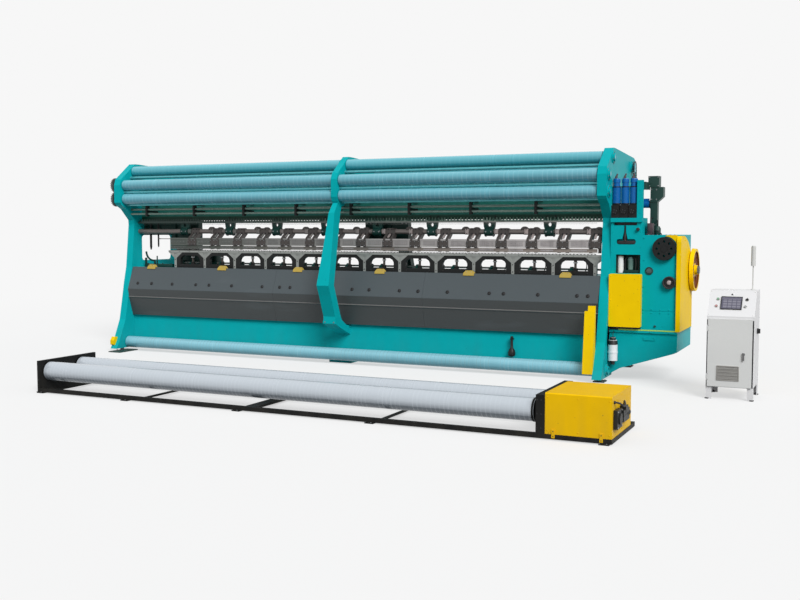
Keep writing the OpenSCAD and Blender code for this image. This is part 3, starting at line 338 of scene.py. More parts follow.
def hex_bolt(size):
    washer = turned([(0, 1.08 * size), (0.13 * size, 1.08 * size), (0.17 * size, 1.02 * size)], sides=20)
    head = turned([(0.17 * size, 0.9 * size), (0.72 * size, 0.9 * size), (0.82 * size, 0.76 * size)],
                  sides=6)
    return welded(washer, head)


def socket_screw(size):
    return turned([(0, 0.76 * size), (0.84 * size, 0.76 * size), (0.95 * size, 0.68 * size),
                   (0.95 * size, 0.42 * size), (0.45 * size, 0.42 * size)], sides=18)


def dome_screw(size):
    return turned([(0, 0.9 * size), (0.12 * size, 0.9 * size), (0.34 * size, 0.74 * size),
                   (0.48 * size, 0.44 * size), (0.5 * size, 0.3 * size), (0.34 * size, 0.28 * size)],
                  sides=18)


def screwed(name, spots, heading, size, body="machine", finish=bolt_steel, kind=hex_bolt):
    """Puts a screw at every spot, its head standing out along the heading."""
    places = [aimed(spot, heading, 0.4 * number) for number, spot in enumerate(spots)]
    return fitted(set_out(kind(size), places), name, body, finish)


journals = [(0.060, 2.398), (-0.140, 2.208), (-0.140, 2.025), (0.960, 2.340), (-0.120, 0.117)]
boss_rings = [turned([(0, 0.0455), (0, 0.066), (0.007, 0.066), (0.010, 0.063), (0.010, 0.0455)],
                     (side * 3.3, y, z), (side, 0, 0), 40, True)
              for side in (-1, 1) for y, z in journals]
fitted(welded(*boss_rings), "bearing_rings", "machine", teal)
ring_bolts = {side: [(side * 3.31, y + 0.056 * cos(turn), z + 0.056 * sin(turn))
                     for y, z in journals for turn in (0.4, 1.45, 2.5, 3.54, 4.59, 5.64)]
              for side in (-1, 1)}
for side, word in ((-1, "left"), (1, "right")):
    screwed("bearing_ring_bolts_" + word, ring_bolts[side], (side, 0, 0), 0.006)
    pocket = side * 3.24
    joints = [(pocket, y, z) for y in (0.10, 0.35, 0.60) for z in (0.79, 1.04)]
    joints += [(pocket, y, z) for y in (0.235, 0.315) for z in (1.77, 1.85)]
    screwed("frame_joint_bolts_" + word, joints, (side, 0, 0), 0.016)
screwed("post_head_bolts", [(0.07, y, z) for y in (0.26, 0.52) for z in (2.06, 2.28)], (1, 0, 0), 0.014)
screwed("post_foot_bolts", [(x, -0.345, 0.522) for x in (-0.03, 0.09)], (0, -1, 0), 0.008)
screwed("bed_edge_bolts", [(-3.08 + 0.44 * i, 0.6802, 0.97) for i in range(15)], (0, 1, 0), 0.014)
screwed("bed_foot_bolts", [(x, y, 0.03) for x in (-0.125, 0.125) for y in (0.0, 0.3, 0.58)],
        (0, 0, 1), 0.011)


# ---------------------------------------------------------------- levelling feet
# Steel plates under the frames' feet. A threaded stud with a lock nut takes the weight of each,
# and four bolts hold it down.
dark_green = enamel("dark_green_enamel", (0.012, 0.045, 0.038), 0.42, 0.3)
dress(dark_green, "levelling_feet", "shog_unit")
studs = [turned([(0.013, 0.029), (0.030, 0.029), (0.033, 0.025)], (x, y, 0), sides=6)
         for x in (-3.25, 3.25) for y in (-0.19, 1.12)]
fitted(welded(*studs), "foot_lock_nuts", "machine", bolt_steel)
foot_spots = [(x + dx, y + dy, 0.012) for x in (-3.25, 3.25) for y in (-0.19, 1.12)
              for dx in (-0.042, 0.042) for dy in (-0.052, 0.052)]
screwed("foot_anchor_bolts", foot_spots, (0, 0, 1), 0.008)


# ---------------------------------------------------------------- upper beam and hangers
# A welded box beam carries the knitting head. Cast hangers bolt under it, each with a split
# bearing for the swing shaft, and one broad web props the beam on the bed.
casting_green = enamel("dark_casting_green", (0.006, 0.036, 0.030), 0.45, 0.2)
dress(casting_green, "hanger_brackets")
beam_green = enamel("beam_green", (0.035, 0.27, 0.215), 0.4, 0.25)
paint = beam_green.tone()
upper_part = beam_green.step(beam_green.along("Z"), 1.800, 0.03)
beam_green.lay(colour=beam_green.mixed(upper_part, (0.004, 0.052, 0.030, 1), paint))
dress(beam_green, "upper_beam")
hanger_x = [-2.425 + 0.715 * i for i in range(8)]
screwed("hanger_bolts", [(x + dx, y, 1.724) for x in hanger_x for dx in (-0.056, 0.056)
                         for y in (0.152, 0.325)], (0, 0, -1), 0.012)
caps = [turned([(0, 0.053), (0.004, 0.0535), (0.004, 0.0575), (0.010, 0.0575), (0.012, 0.0505)],
               (x + side * 0.0395, 0.150, 1.597), (side, 0, 0), 40, True)
        for x in hanger_x for side in (-1, 1)]
fitted(welded(*caps), "swing_bearing_caps", "machine", casting_green)
screwed("swing_bearing_bolts", [(x + dx, 0.1005, 1.597) for x in hanger_x for dx in (-0.033, 0.033)],
        (0, -1, 0), 0.009)
screwed("beam_prop_bolts", [(0.5 + dx, 0.240, 1.70) for dx in (-0.262, -0.21, 0.215, 0.268)] +
        [(0.5 + dx, 0.240, 1.15) for dx in (0.2, 0.31)], (0, -1, 0), 0.012)
screwed("beam_face_bolts", [(x + dx, 0.2, 1.772) for x in hanger_x for dx in (-0.05, 0.05)],
        (0, -1, 0), 0.009, finish=black_screw)


# ---------------------------------------------------------------- left beam prop
# A second cast prop bolts under the beam's left end. Ribs stiffen its web and its leg stands on
# the bed, beside the closed gear case of the needle bar's drive.
def cut_block(low, high, edge=0.002, steps=2):
    """A block between two corners with its edges eased."""
    clear_bench()
    bpy.ops.mesh.primitive_cube_add(size=1, location=[(a + b) / 2 for a, b in zip(low, high)],
                                    scale=[b - a for a, b in zip(low, high)])
    bpy.ops.object.transform_apply()
    bpy.ops.object.mode_set(mode="EDIT")
    bpy.ops.mesh.select_all(action="SELECT")
    bpy.ops.mesh.bevel(offset=edge, segments=steps, affect="EDGES")
    bpy.ops.object.mode_set(mode="OBJECT")
    return bpy.context.object


# The web's part from X -2.75 m out to the left frame is a dark plate put where the head is in shade:
# painted shade.
prop_web = [((-2.755, 0.262, 1.362), (-2.285, 0.330, 1.7235)),
            ((-2.755, 0.240, 1.362), (-2.285, 0.266, 1.396)),
            ((-3.185, 0.262, 1.548), (-2.750, 0.330, 1.7235)),
            ((-3.185, 0.240, 1.548), (-2.750, 0.266, 1.580)),
            ((-2.317, 0.240, 1.390), (-2.285, 0.266, 1.7235)),
            ((-3.198, 0.240, 1.548), (-3.175, 0.340, 1.7398)),
            ((-2.69, 0.240, 1.390), (-2.664, 0.266, 1.7235)),
            ((-2.66, 0.250, 1.1155), (-2.285, 0.330, 1.366)),
            ((-2.66, 0.236, 1.1155), (-2.27, 0.340, 1.142)),
            ((-3.185, 0.262, 1.7220), (-2.51, 0.330, 1.7398)),
            ((-2.34, 0.262, 1.7220), (-2.285, 0.330, 1.7398))]
fitted(welded(*[cut_block(low, high, 0.005) for low, high in prop_web]), "left_beam_prop", "machine",
       casting_green)
screwed("left_prop_bolts", [(x, 0.2362, 1.1285) for x in (-2.62, -2.54, -2.39, -2.31)] +
        [(x, 0.2618, z) for x in (-3.10, -2.86) for z in (1.62, 1.69)], (0, -1, 0), 0.010,
        finish=black_screw)
case = [((-2.14, 0.190, 1.1155), (-1.97, 0.330, 1.330)), ((-2.152, 0.184, 1.1155), (-1.958, 0.336, 1.140)),
        ((-2.128, 0.180, 1.210), (-1.982, 0.196, 1.312))]
fitted(welded(*[cut_block(low, high, 0.008) for low, high in case]), "needle_drive_case", "machine",
       casting_green)
screwed("needle_drive_case_screws", [(x, 0.1798, z) for x in (-2.116, -1.994) for z in (1.222, 1.300)],
        (0, -1, 0), 0.007, finish=black_screw)


# ---------------------------------------------------------------- front covers
# Folded sheet in dark grey textured powder coat, in three lengths with a knee and a narrow ridge.
# Blacked screws hold each length to the bed.
def powder(name, colour, shaded_low_colour=None, edge=0.0, width=0.1, gloss=0.48, grain=0.3):
    """Powder coat: a fine pebbled skin, soft clouds and a few rubbed streaks."""
    coat = Finish(name, {"Specular IOR Level": 0.4})
    cloud = coat.mottle(1.4, 4, (0.6, 1, 1))
    rubbed = coat.mottle(5, 5, (0.25, 1, 1))
    pebble = coat.mottle(520, 2)
    base = coat.mixed(cloud, tint(colour, 0.9), tint(colour, 1.1))
    # Below the edge the coat is laid in a darker copy of its colour: painted shade.
    if shaded_low_colour:
        lower = coat.mixed(cloud, tint(shaded_low_colour, 0.9), tint(shaded_low_colour, 1.1))
        base = coat.mixed(coat.step(coat.along("Z"), edge, width), lower, base)
    streak = coat.step(rubbed, 0.66, 0.12)
    base = coat.mixed(streak * 0.25, base, tint(colour, 1.5))
    fine = coat.mixed(pebble * 0.3, base, tint(colour, 0.6))
    return coat.lay(colour=fine, roughness=gloss + 0.14 * (cloud - 0.5) - 0.1 * streak,
                    normal=coat.bumped(pebble, grain, 0.0005))


# Below the knee the sheet is laid darker: painted shade on the face turned down and away from the light.
cover_grey = powder("cover_grey_powder", (0.066, 0.082, 0.090), (0.050, 0.056, 0.057), 0.826, 0.004)
sheet_tone = cover_grey.tone()
cover_z = cover_grey.along("Z")
# A bright band along the narrow ridge: a painted highlight.
ridge = cover_grey.step(cover_z, 0.7155, 0.001) * (1 - cover_grey.step(cover_z, 0.7285, 0.001))
cover_grey.lay(colour=cover_grey.mixed(0.75 * ridge, sheet_tone, (0.19, 0.185, 0.18, 1)))
dress(cover_grey, "front_covers")
knee_z, low_z = 0.830, 0.480
top_screws = [-3.05, -2.82, -2.48, -2.10, -1.89, -1.54, -1.08, -0.82, -0.67, 0.20, 0.43, 0.83, 1.07,
              1.44, 1.95, 2.12, 2.52, 2.96, 3.08]
slope = Vector((0, -(1.116 - knee_z), 0.110)).normalized()
screwed("cover_screws", [(x, -0.110 + 0.110 * (0.905 - knee_z) / 0.286 - 0.0055, 0.905)
                         for x in top_screws], slope, 0.0235, finish=black_screw, kind=dome_screw)
low_slope = Vector((0, -(0.706 - low_z), -0.070)).normalized()
seams = [(-3.2, -0.91), (-0.91, 1.13), (1.13, 3.2)]
low_screws = [(x0 + 0.09 + (x1 - x0 - 0.18) * k / 4, -0.0295, 0.520) for x0, x1 in seams
              for k in range(5)]
screwed("cover_foot_screws", low_screws, low_slope, 0.008, finish=black_screw, kind=dome_screw)


# ---------------------------------------------------------------- yellow tabs
# Six pressed sheet tabs in safety yellow, rubbed dull by handling. Each is hooked over the covers'
# top edge and held by two screws.
yellow = enamel("safety_yellow", (0.94, 0.595, 0.002), 0.42, 0.05, 0.3, 0.1, (0.3, 0.2, 0.03, 1))
dress(yellow, "take_up_guards", "side_cover", "belt_cover")
rubbed_yellow = enamel("rubbed_tab_yellow", (0.47, 0.335, 0.075), 0.55, 0.1, 0.7, 0.14,
                       (0.15, 0.11, 0.04, 1))
dress(rubbed_yellow, "cover_tabs")
tab_x = [-0.035 + 1.137 * (i - 2.5) for i in range(6)]
screwed("tab_screws", [(x + dx, -0.0065, 1.141) for x in tab_x for dx in (-0.03, 0.03)],
        (0, -0.83, 0.3), 0.006, kind=dome_screw, finish=bolt_steel)


# ---------------------------------------------------------------- yarn feed rollers
# Long steel rollers, ground and then wound with close rings that grip the yarn sheet.
# They run in end bearings and in the centre post. Their upper side is painted paler and their underside
# darker: a painted highlight and painted shade.
def ringed_steel(name, colour, ring, pitch, metal, rough, ring_share=0.5):
    """A ground roller: close turning marks, wider worn bands, and regular bright rings."""
    roll = Finish(name, {"Specular IOR Level": 0.5})
    x = roll.along("X")
    bands = roll.node("TexNoise", {"noise_dimensions": "1D"}, {"W": x, "Scale": 7.0, "Detail": 4.0})
    turned_marks = roll.node("TexNoise", {"noise_dimensions": "1D"},
                             {"W": x, "Scale": 130.0, "Detail": 3.0})
    wander = roll.node("TexNoise", {"noise_dimensions": "1D"}, {"W": x, "Scale": 1.1, "Detail": 1.0})
    wave = roll.node("Math", {"operation": "SINE"}, {0: x * (tau / pitch) + 0.9 * wander})
    rings = roll.node("Clamp", {}, {"Value": (wave - 0.55) * 2.6})
    rings = rings * roll.step(bands, 0.42, 0.25)
    base = roll.mixed(0.6 * bands + 0.4 * turned_marks, tint(colour, 0.86), tint(colour, 1.14))
    base = roll.mixed(rings * ring_share, base, ring)
    oil = roll.step(roll.mottle(2.2, 5, (0.4, 1, 1)), 0.6, 0.15)
    base = roll.mixed(oil * 0.22, base, tint(colour, 0.45))
    return roll.lay(colour=base, roughness=rough + 0.16 * (bands - 0.5) - 0.08 * rings,
                    metallic=metal + 0.1 * (turned_marks - 0.5),
                    normal=roll.bumped(turned_marks + 0.7 * rings, 0.16, 0.0006))


def painted_top_light(roll, axis, slope, start, share, pale):
    """Paints a highlight over a roller's upper side and leaves its underside darker, as the roller stands
    at rest: a painted highlight and painted shade.
    """
    upper = roll.node("Clamp", {}, {"Value": (roll.along("Z") - axis) * slope + start})
    roll.lay(colour=roll.mixed(share * upper, roll.tone(), pale))


feed_steel = ringed_steel("wound_feed_steel", (0.085, 0.31, 0.395), (0.24, 0.48, 0.56, 1), 0.055, 0.06,
                          0.24,
                          0.35)
height = feed_steel.along("Z")
top_row = feed_steel.step(height, 2.30, 0.02)
feed_steel.lay(colour=feed_steel.mixed(0.55 * top_row, feed_steel.tone(), (0.010, 0.33, 0.39, 1)))
low_axis, mid_axis, top_axis = 2.025, 2.208, 2.398
feed_axis = low_axis + (mid_axis - low_axis) * feed_steel.step(height, 2.1165, 0.001)
feed_axis = feed_axis + (top_axis - mid_axis) * feed_steel.step(height, 2.303, 0.001)
painted_top_light(feed_steel, feed_axis, 8.5, 0.25, 0.8, (0.23, 0.58, 0.66, 1))
dress(feed_steel, "feed_roller_top", "feed_roller_mid", "feed_roller_low", "rear_feed_roller")
gear_steel = zinc_finish("cut_gear_steel", (0.17, 0.175, 0.17, 1), 0.42, 0.7)
dress(gear_steel, "chain_sprocket", "feed_gear_mid", "feed_gear_low")
for word, body, y, z in (("mid", "feed_mid", -0.14, 2.208), ("low", "feed_low", -0.14, 2.025)):
    nut = turned([(0, 0.038), (0.003, 0.038), (0.003, 0.034), (0.016, 0.034), (0.019, 0.028)],
                 (-3.3602, y, z), (-1, 0, 0), 6)
    fitted(nut, "gear_nut_" + word, body, bolt_steel)
    screwed("gear_clamp_screws_" + word, [(-3.3491, y + 0.0328 * cos(a), z + 0.0328 * sin(a))
                                          for a in (0.5, 2.6, 4.7)], (-1, 0, 0), 0.005, body,
            kind=socket_screw)
for word, body, z, y in (("top", "feed_top", 2.398, 0.06), ("rear", "feed_rear", 2.340, 0.96)):
    cap = turned([(0, 0.0248), (0.006, 0.0248), (0.009, 0.020), (0.009, 0.008), (0.004, 0.006)],
                 (-3.332 if word == "top" else -3.325, y, z), (-1, 0, 0), 28)
    fitted(cap, "journal_cap_" + word, body, bolt_steel)


# ---------------------------------------------------------------- feed chain
# A roller chain from the rear feed roller's sprocket round the idler below it.
# Each link has two waisted side plates and two pins; the rollers between them sit in the teeth.
chain_steel = zinc_finish("oiled_chain_steel", (0.06, 0.062, 0.065, 1), 0.38, 0.75)
big, small = (0.960, 2.340, 0.0605), (1.000, 2.120, 0.0385)
run_y, run_z = small[0] - big[0], small[1] - big[1]
span = (run_y ** 2 + run_z ** 2) ** 0.5
heading = atan2(run_z, run_y)
lean = acos((big[2] - small[2]) / span)
straight = (span ** 2 - (big[2] - small[2]) ** 2) ** 0.5
round_big, round_small = (tau - 2 * lean) * big[2], 2 * lean * small[2]
whole = round_big + round_small + 2 * straight
link_count = 2 * round(whole / 0.0195 / 2)
pitch = whole / link_count


def on_chain(run):
    """Y and Z of the point that far along the chain's middle line."""
    run %= whole
    if run < round_big:
        turn = heading + lean + run / big[2]
        return big[0] + big[2] * cos(turn), big[1] + big[2] * sin(turn)
    run -= round_big
    ends = [(big, heading - lean), (small, heading - lean), (small, heading + lean), (big, heading + lean)]
    points = [(c[0] + c[2] * cos(a), c[1] + c[2] * sin(a)) for c, a in ends]
    if run < straight:
        share = run / straight
        return tuple(p + (q - p) * share for p, q in zip(points[0], points[1]))
    run -= straight
    if run < round_small:
        turn = heading - lean + run / small[2]
        return small[0] + small[2] * cos(turn), small[1] + small[2] * sin(turn)
    share = (run - round_small) / straight
    return tuple(p + (q - p) * share for p, q in zip(points[2], points[3]))


def side_plate(length, height, thick):
    """A chain side plate along Y: two round ends with a waist between them."""
    clear_bench()
    bpy.ops.mesh.primitive_cylinder_add(vertices=20, radius=height / 2, depth=thick,
                                        rotation=(0, pi / 2, 0))
    bpy.ops.object.transform_apply()
    bpy.ops.object.mode_set(mode="EDIT")
    for side in (-1, 1):
        pick("verts", lambda v: v.co.y * side > 1e-4)
        bpy.ops.transform.translate(value=(0, side * length / 2, 0))
    pick("verts", lambda v: abs(v.co.y) < 1e-4)
    bpy.ops.transform.resize(value=(1, 1, 0.72))
    bpy.ops.object.mode_set(mode="OBJECT")
    return bpy.context.object


pins = [on_chain(i * pitch) for i in range(link_count)]
outer_spots, inner_spots, pin_spots = [], [], []
middle_x = 3.337
for i, (y, z) in enumerate(pins):
    after = pins[(i + 1) % link_count]
    tilt = atan2(after[1] - z, after[0] - y)
    half_x = 0.0085 if i % 2 else 0.0058
    for side in (-1, 1):
        spot = (middle_x + side * half_x, (y + after[0]) / 2, (z + after[1]) / 2)
        (outer_spots if i % 2 else inner_spots).append(
            Matrix.Translation(spot) @ Matrix.Rotation(tilt, 4, "X"))
    pin_spots.append(aimed((middle_x, y, z), (1, 0, 0)))
pin = turned([(-0.0105, 0.0022), (-0.0098, 0.0028), (-0.0052, 0.0028), (-0.0052, 0.0056),
              (0.0052, 0.0056), (0.0052, 0.0028), (0.0098, 0.0028), (0.0105, 0.0022)], sides=12)
chain = welded(set_out(side_plate(pitch, 0.0145, 0.0018), outer_spots),
               set_out(side_plate(pitch, 0.0155, 0.0018), inner_spots), set_out(pin, pin_spots))
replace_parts(fitted(chain, "roller_chain", "machine", chain_steel), "feed_chain")


# ---------------------------------------------------------------- yarn rods, brackets and comb
# Bright drawn rods turn the yarn sheet down to the head. Black cast brackets hold the two tension
# rods to the beam, and a rail with a comb of fine wires below spreads the threads.
def drawn_steel(name, colour, metal=0.7, rough=0.26):
    """Cold-drawn steel: a fine lay along the rod, soft clouds and a few stains."""
    rod = Finish(name)
    lay = rod.mottle(90, 3, (0.05, 1, 1))
    cloud = rod.mottle(4, 5)
    stain = rod.step(rod.mottle(13, 6), 0.62, 0.1)
    base = rod.mixed(0.5 * lay + 0.5 * cloud, tint(colour, 0.78), tint(colour, 1.16))
    base = rod.mixed(stain * 0.3, base, tint(colour, 0.5))
    return rod.lay(colour=base, roughness=rough + 0.18 * (lay - 0.5) + 0.12 * stain,
                   metallic=metal - 0.2 * stain, normal=rod.bumped(lay, 0.14, 0.0004))


rod_steel = drawn_steel("bright_drawn_steel", (0.46, 0.52, 0.54))
# The rods' steel colour is painted over: teal above 1.93 m, a painted reflection of the teal rollers and
# frames, and dim green below, a painted reflection of the green beam and painted shade.
high_rod = rod_steel.step(rod_steel.along("Z"), 1.93, 0.01)
lay_marks = rod_steel.mottle(90, 3, (0.05, 1, 1))
low_rod_painted_reflection = rod_steel.mixed(lay_marks, (0.09, 0.15, 0.13, 1), (0.20, 0.28, 0.24, 1))
high_rod_painted_reflection = rod_steel.mixed(lay_marks, (0.07, 0.34, 0.38, 1), (0.12, 0.46, 0.50, 1))
rod_steel.lay(colour=rod_steel.mixed(high_rod, low_rod_painted_reflection, high_rod_painted_reflection),
              metallic=0.35 + 0.1 * lay_marks)
dress(rod_steel, "guide_rods")
shaft_steel = drawn_steel("oiled_shaft_steel", (0.15, 0.13, 0.122), 0.25, 0.42)
dress(shaft_steel, "swing_shaft")
black_enamel = enamel("black_enamel", (0.010, 0.011, 0.011), 0.42, 0.2, 0.25, 0.12,
                      (0.12, 0.12, 0.12, 1))
dress(black_enamel, "rod_brackets", "arch_brackets", "motor_gearboxes", "pattern_disc",
      "batch_gearmotor")
bracket_x = [-2.93 + 0.771 * i for i in range(8)]
screwed("rod_bracket_screws", [(x, -0.0365, z) for x in bracket_x for z in (1.915, 1.858)],
        (0, -1, 0), 0.006, kind=socket_screw, finish=black_screw)
comb_steel = drawn_steel("comb_steel", (0.30, 0.31, 0.29), 0.3, 0.4)
comb_bare = comb_steel.tone()
# Above the rail the toothed strip is laid dark green with pale streaks: the streaks are the teeth and the
# dark green is painted shade between them.
toothed = comb_steel.step(comb_steel.along("Z"), 1.7205, 0.003)
speck = comb_steel.step(comb_steel.mottle(55, 3, (1, 1, 0.2)), 0.53, 0.12)
teeth_tone = comb_steel.mixed(speck, (0.012, 0.075, 0.050, 1), (0.20, 0.30, 0.24, 1))
comb_tone = comb_steel.mixed(toothed, comb_bare, teeth_tone)
# The comb darkens towards the left end of the machine: painted shade.
right_part = comb_steel.step(comb_steel.along("X"), 0.4, 4.4)
comb_steel.lay(colour=comb_steel.mixed(right_part, (0.022, 0.045, 0.038, 1), comb_tone))
dress(comb_steel, "yarn_comb_rail")
bright_shaft = drawn_steel("bright_shaft_steel", (0.62, 0.62, 0.62), 0.6, 0.32)
dress(bright_shaft, "main_shaft")


def wire(length, radius, sides=5):
    return turned([(0, radius), (length * 0.9, radius), (length, radius * 0.4)], sides=sides)


def in_row(piece, count, step):
    """Repeats a piece along X at an even step."""
    clear_bench()
    piece.select_set(True)
    bpy.context.view_layer.objects.active = piece
    row = piece.modifiers.new("row", "ARRAY")
    row.count = count
    row.use_relative_offset = False
    row.use_constant_offset = True
    row.constant_offset_displace = (step, 0, 0)
    bpy.ops.object.modifier_apply(modifier="row")
    return piece


comb_wire = wire(0.026, 0.0008)
comb_wire.matrix_world = Matrix.Translation((-3.116, 0.1175, 1.7055)) @ Matrix.Rotation(pi, 4, "X")
fitted(in_row(comb_wire, 780, 0.008), "comb_wires", "machine", comb_steel)
screwed("comb_rail_screws", [(-3.02 + 0.4 * i, 0.1138, 1.712) for i in range(16)], (0, -1, 0), 0.004,
        kind=socket_screw)


# ---------------------------------------------------------------- rear tie rail
# A teal angle rail ties the end frames to the centre post above the beam, behind the feed rollers.
# Each of its two lengths ends in plates at the frame and at the post.
post_x, post_side = 0.03, 0.04
rails = []
for start, end in ((-3.1995, post_x - post_side), (post_x + post_side, 3.1995)):
    rails += [cut_block(low, high) for low, high in (
        ((start, 0.262, 2.085), (end, 0.270, 2.185)),
        ((start, 0.262, 2.085), (end, 0.330, 2.093)),
        ((start, 0.240, 2.060), (start + 0.010, 0.350, 2.210)),
        ((end - 0.010, 0.240, 2.060), (end, 0.350, 2.210)))]
fitted(welded(*rails), "rear_tie_rail", "machine", teal)


# ---------------------------------------------------------------- swing shaft and rocker arms
# Light alloy arms in pairs, clamped on the swing shaft. Every second pair has the round bosses
# of a swing lever. Screws through the side plates hold both guide bars.
def cast_alloy(name, colour, rough=0.5, metal=0.35, left_shade_colour=None):
    """A sand-cast light alloy, rough in the skin and smeared with oil. Given a colour for the left end, it
    darkens towards that end: painted shade.
    """
    alloy = Finish(name, {"Metallic": metal})
    sand = alloy.mottle(140, 4)
    cloud = alloy.mottle(6, 4)
    base = alloy.mixed(0.5 * sand + 0.5 * cloud, tint(colour, 0.75), tint(colour, 1.2))
    if left_shade_colour:
        dull = alloy.mixed(0.5 * sand + 0.5 * cloud, tint(left_shade_colour, 0.75), tint(left_shade_colour, 1.2))
        base = alloy.mixed(alloy.step(alloy.along("X"), 0.0, 4.6), dull, base)
    smear = alloy.step(alloy.mottle(9, 5, (1, 1, 0.3)), 0.6, 0.15)
    base = alloy.mixed(smear * 0.35, base, tint(colour, 0.4))
    return alloy.lay(colour=base, roughness=rough + 0.15 * (sand - 0.5),
                     normal=alloy.bumped(sand, 0.3, 0.0008))


arm_alloy = cast_alloy("oiled_arm_alloy", (0.055, 0.047, 0.044), 0.48, 0.2)
dress(arm_alloy, "rocker_arms")
rocker_x = [-2.24625 + 0.3575 * i for i in range(16)]
bar_clamps = [cut_block((x - 0.066, 0.0305, 1.4185), (x + 0.066, 0.0435, 1.4935), 0.003, 1)
              for x in rocker_x]
bar_clamps += [cut_block((x + dx - 0.009, 0.0265, 1.4215), (x + dx + 0.009, 0.032, 1.4905), 0.002, 1)
               for x in rocker_x for dx in (-0.028, 0.028)]
fitted(welded(*bar_clamps), "guide_bar_clamps", "swing_group", arm_alloy)
screwed("arm_bar_screws", [(x + dx, 0.0303, z) for x in rocker_x for dx in (-0.052, 0.0, 0.052)
                           for z in (1.431, 1.481)], (0, -1, 0), 0.007, "swing_group",
        finish=bolt_steel, kind=socket_screw)
screwed("arm_cap_screws", [(x + dx, 0.1118, z) for x in rocker_x for dx in (-0.022, 0.022)
                           for z in (1.575, 1.625)], (0, -1, 0), 0.008, "swing_group", finish=black_screw)
# The collars darken towards the left end of the machine: painted shade.
collar_metal = cast_alloy("split_collar_metal", (0.40, 0.335, 0.325), 0.45, 0.2, (0.075, 0.085, 0.078))
collars = [cut_block((x - 0.105, y0, 1.568), (x - 0.063, y1, 1.629), 0.005)
           for x in rocker_x for y0, y1 in ((0.098, 0.149), (0.151, 0.202))]
fitted(welded(*collars), "swing_shaft_collars", "swing_group", collar_metal)
screwed("collar_screws", [(x - 0.084, 0.0978, z) for x in rocker_x for z in (1.5765, 1.6205)], (0, -1, 0),
        0.0065, "swing_group", finish=black_screw, kind=socket_screw)
arm_ribs = [cut_block((x - 0.013, -0.007, -0.036), (x + 0.013, 0.007, 0.036), 0.003, 1) for x in rocker_x]
for rib in arm_ribs:
    rib.data.transform(Matrix.Translation((0, 0.082, 1.5455)) @ Matrix.Rotation(radians(-54.4), 4, "X"))
fitted(welded(*arm_ribs), "arm_ribs", "swing_group", collar_metal)
bosses = [turned([(0, 0.0405), (0.004, 0.0405), (0.006, 0.038), (0.006, 0.018), (0.003, 0.015)],
                 (x - 0.115, 0.13, 1.611), (0, -1, 0), 36) for x in rocker_x[1::2]]
bosses += [turned([(0, 0.045), (0.006, 0.045), (0.012, 0.040), (0.015, 0.028), (0.015, 0.014),
                   (0.010, 0.011)], (x + 0.022, 0.13, 1.601), (0, -1, 0), 36) for x in rocker_x[1::2]]
boss_steel = cast_alloy("machined_boss", (0.42, 0.44, 0.45), 0.36, 0.5)
fitted(welded(*bosses), "swing_lever_bosses", "swing_group", arm_alloy)
screwed("swing_lever_screws", [(x - 0.115 + 0.029 * cos(a), 0.124, 1.611 + 0.029 * sin(a))
                               for x in rocker_x[1::2] for a in (0.8, 2.9, 5.0)], (0, -1, 0), 0.004,
        "swing_group", finish=black_screw, kind=socket_screw)


# ---------------------------------------------------------------- guide bars
# Magnesium bars in a pale satin finish. Cast leads are screwed side by side along each front
# face, and fine thread guides stand under the lower bar.
# The bars and their leads darken towards the left end of the machine: painted shade.
bar_metal = cast_alloy("satin_bar_metal", (0.46, 0.435, 0.43), 0.42, 0.25, (0.085, 0.098, 0.088))
dress(bar_metal, "guide_bar_upper")
lower_metal = cast_alloy("oiled_bar_metal", (0.235, 0.20, 0.178), 0.45, 0.25, (0.050, 0.062, 0.054))
dress(lower_metal, "guide_bar_lower")
lead_metal = cast_alloy("guide_lead_metal", (0.36, 0.335, 0.335), 0.45, 0.25, (0.070, 0.082, 0.074))
guide_wire = drawn_steel("guide_wire_steel", (0.66, 0.66, 0.66), 0.6, 0.28)


def clear_of_arms(x, half):
    return all(abs(x - arm) > 0.083 + half for arm in rocker_x)


lead_spots = [x for x in (-2.585 + 0.025 * i for i in range(229)) if clear_of_arms(x, 0.0115)]
for word, body, low, high in (("upper", "upper_bar", 1.4395, 1.4895), ("lower", "lower_bar", 1.381, 1.401)):
    lead = cut_block((-0.0115, 0.0415, low), (0.0115, 0.0465, high), 0.0012, 1)
    fitted(set_out(lead, [Matrix.Translation((x, 0, 0)) for x in lead_spots]), "guide_leads_" + word,
           body, lead_metal)
    screwed("guide_lead_screws_" + word, [(x, 0.0415, (low + high) / 2) for x in lead_spots[::2]],
            (0, -1, 0), 0.0036, body, kind=dome_screw, finish=bolt_steel)
guides = wire(0.0105, 0.0007)
guides.matrix_world = Matrix.Translation((-2.590, 0.052, 1.3712)) @ Matrix.Rotation(pi, 4, "X")
fitted(in_row(guides, 1143, 0.005), "thread_guides", "lower_bar", guide_wire)


# ---------------------------------------------------------------- needle bar
# A steel bar on guided lifting rods. It carries the needles in short cast leads, each needle a
# fine hooked wire that stands just above the knock-over edge.
needle_steel = drawn_steel("needle_bar_steel", (0.060, 0.047, 0.040), 0.25, 0.42)
dress(needle_steel, "needle_bar")
needles = wire(0.022, 0.0007)
needles.matrix_world = Matrix.Translation((-2.597, 0.1245, 1.340))
fitted(in_row(needles, 1143, 0.005), "knitting_needles", "needles", needle_steel)
lift_x = [-2.3005 + 0.471 * i for i in range(12)]
collars = [turned([(0, 0.0142), (0, 0.0225), (0.001, 0.0235), (0.012, 0.0235), (0.013, 0.0225),
                   (0.013, 0.0142)], (x, 0.130, 1.250), (0, 0, 1), 32, True) for x in lift_x]
fitted(welded(*collars), "lifting_rod_collars", "needles", boss_steel)
screwed("needle_bar_screws", [(-2.55 + 0.19 * i, 0.1178, 1.299) for i in range(30)], (0, -1, 0), 0.004,
        "needles", kind=socket_screw)


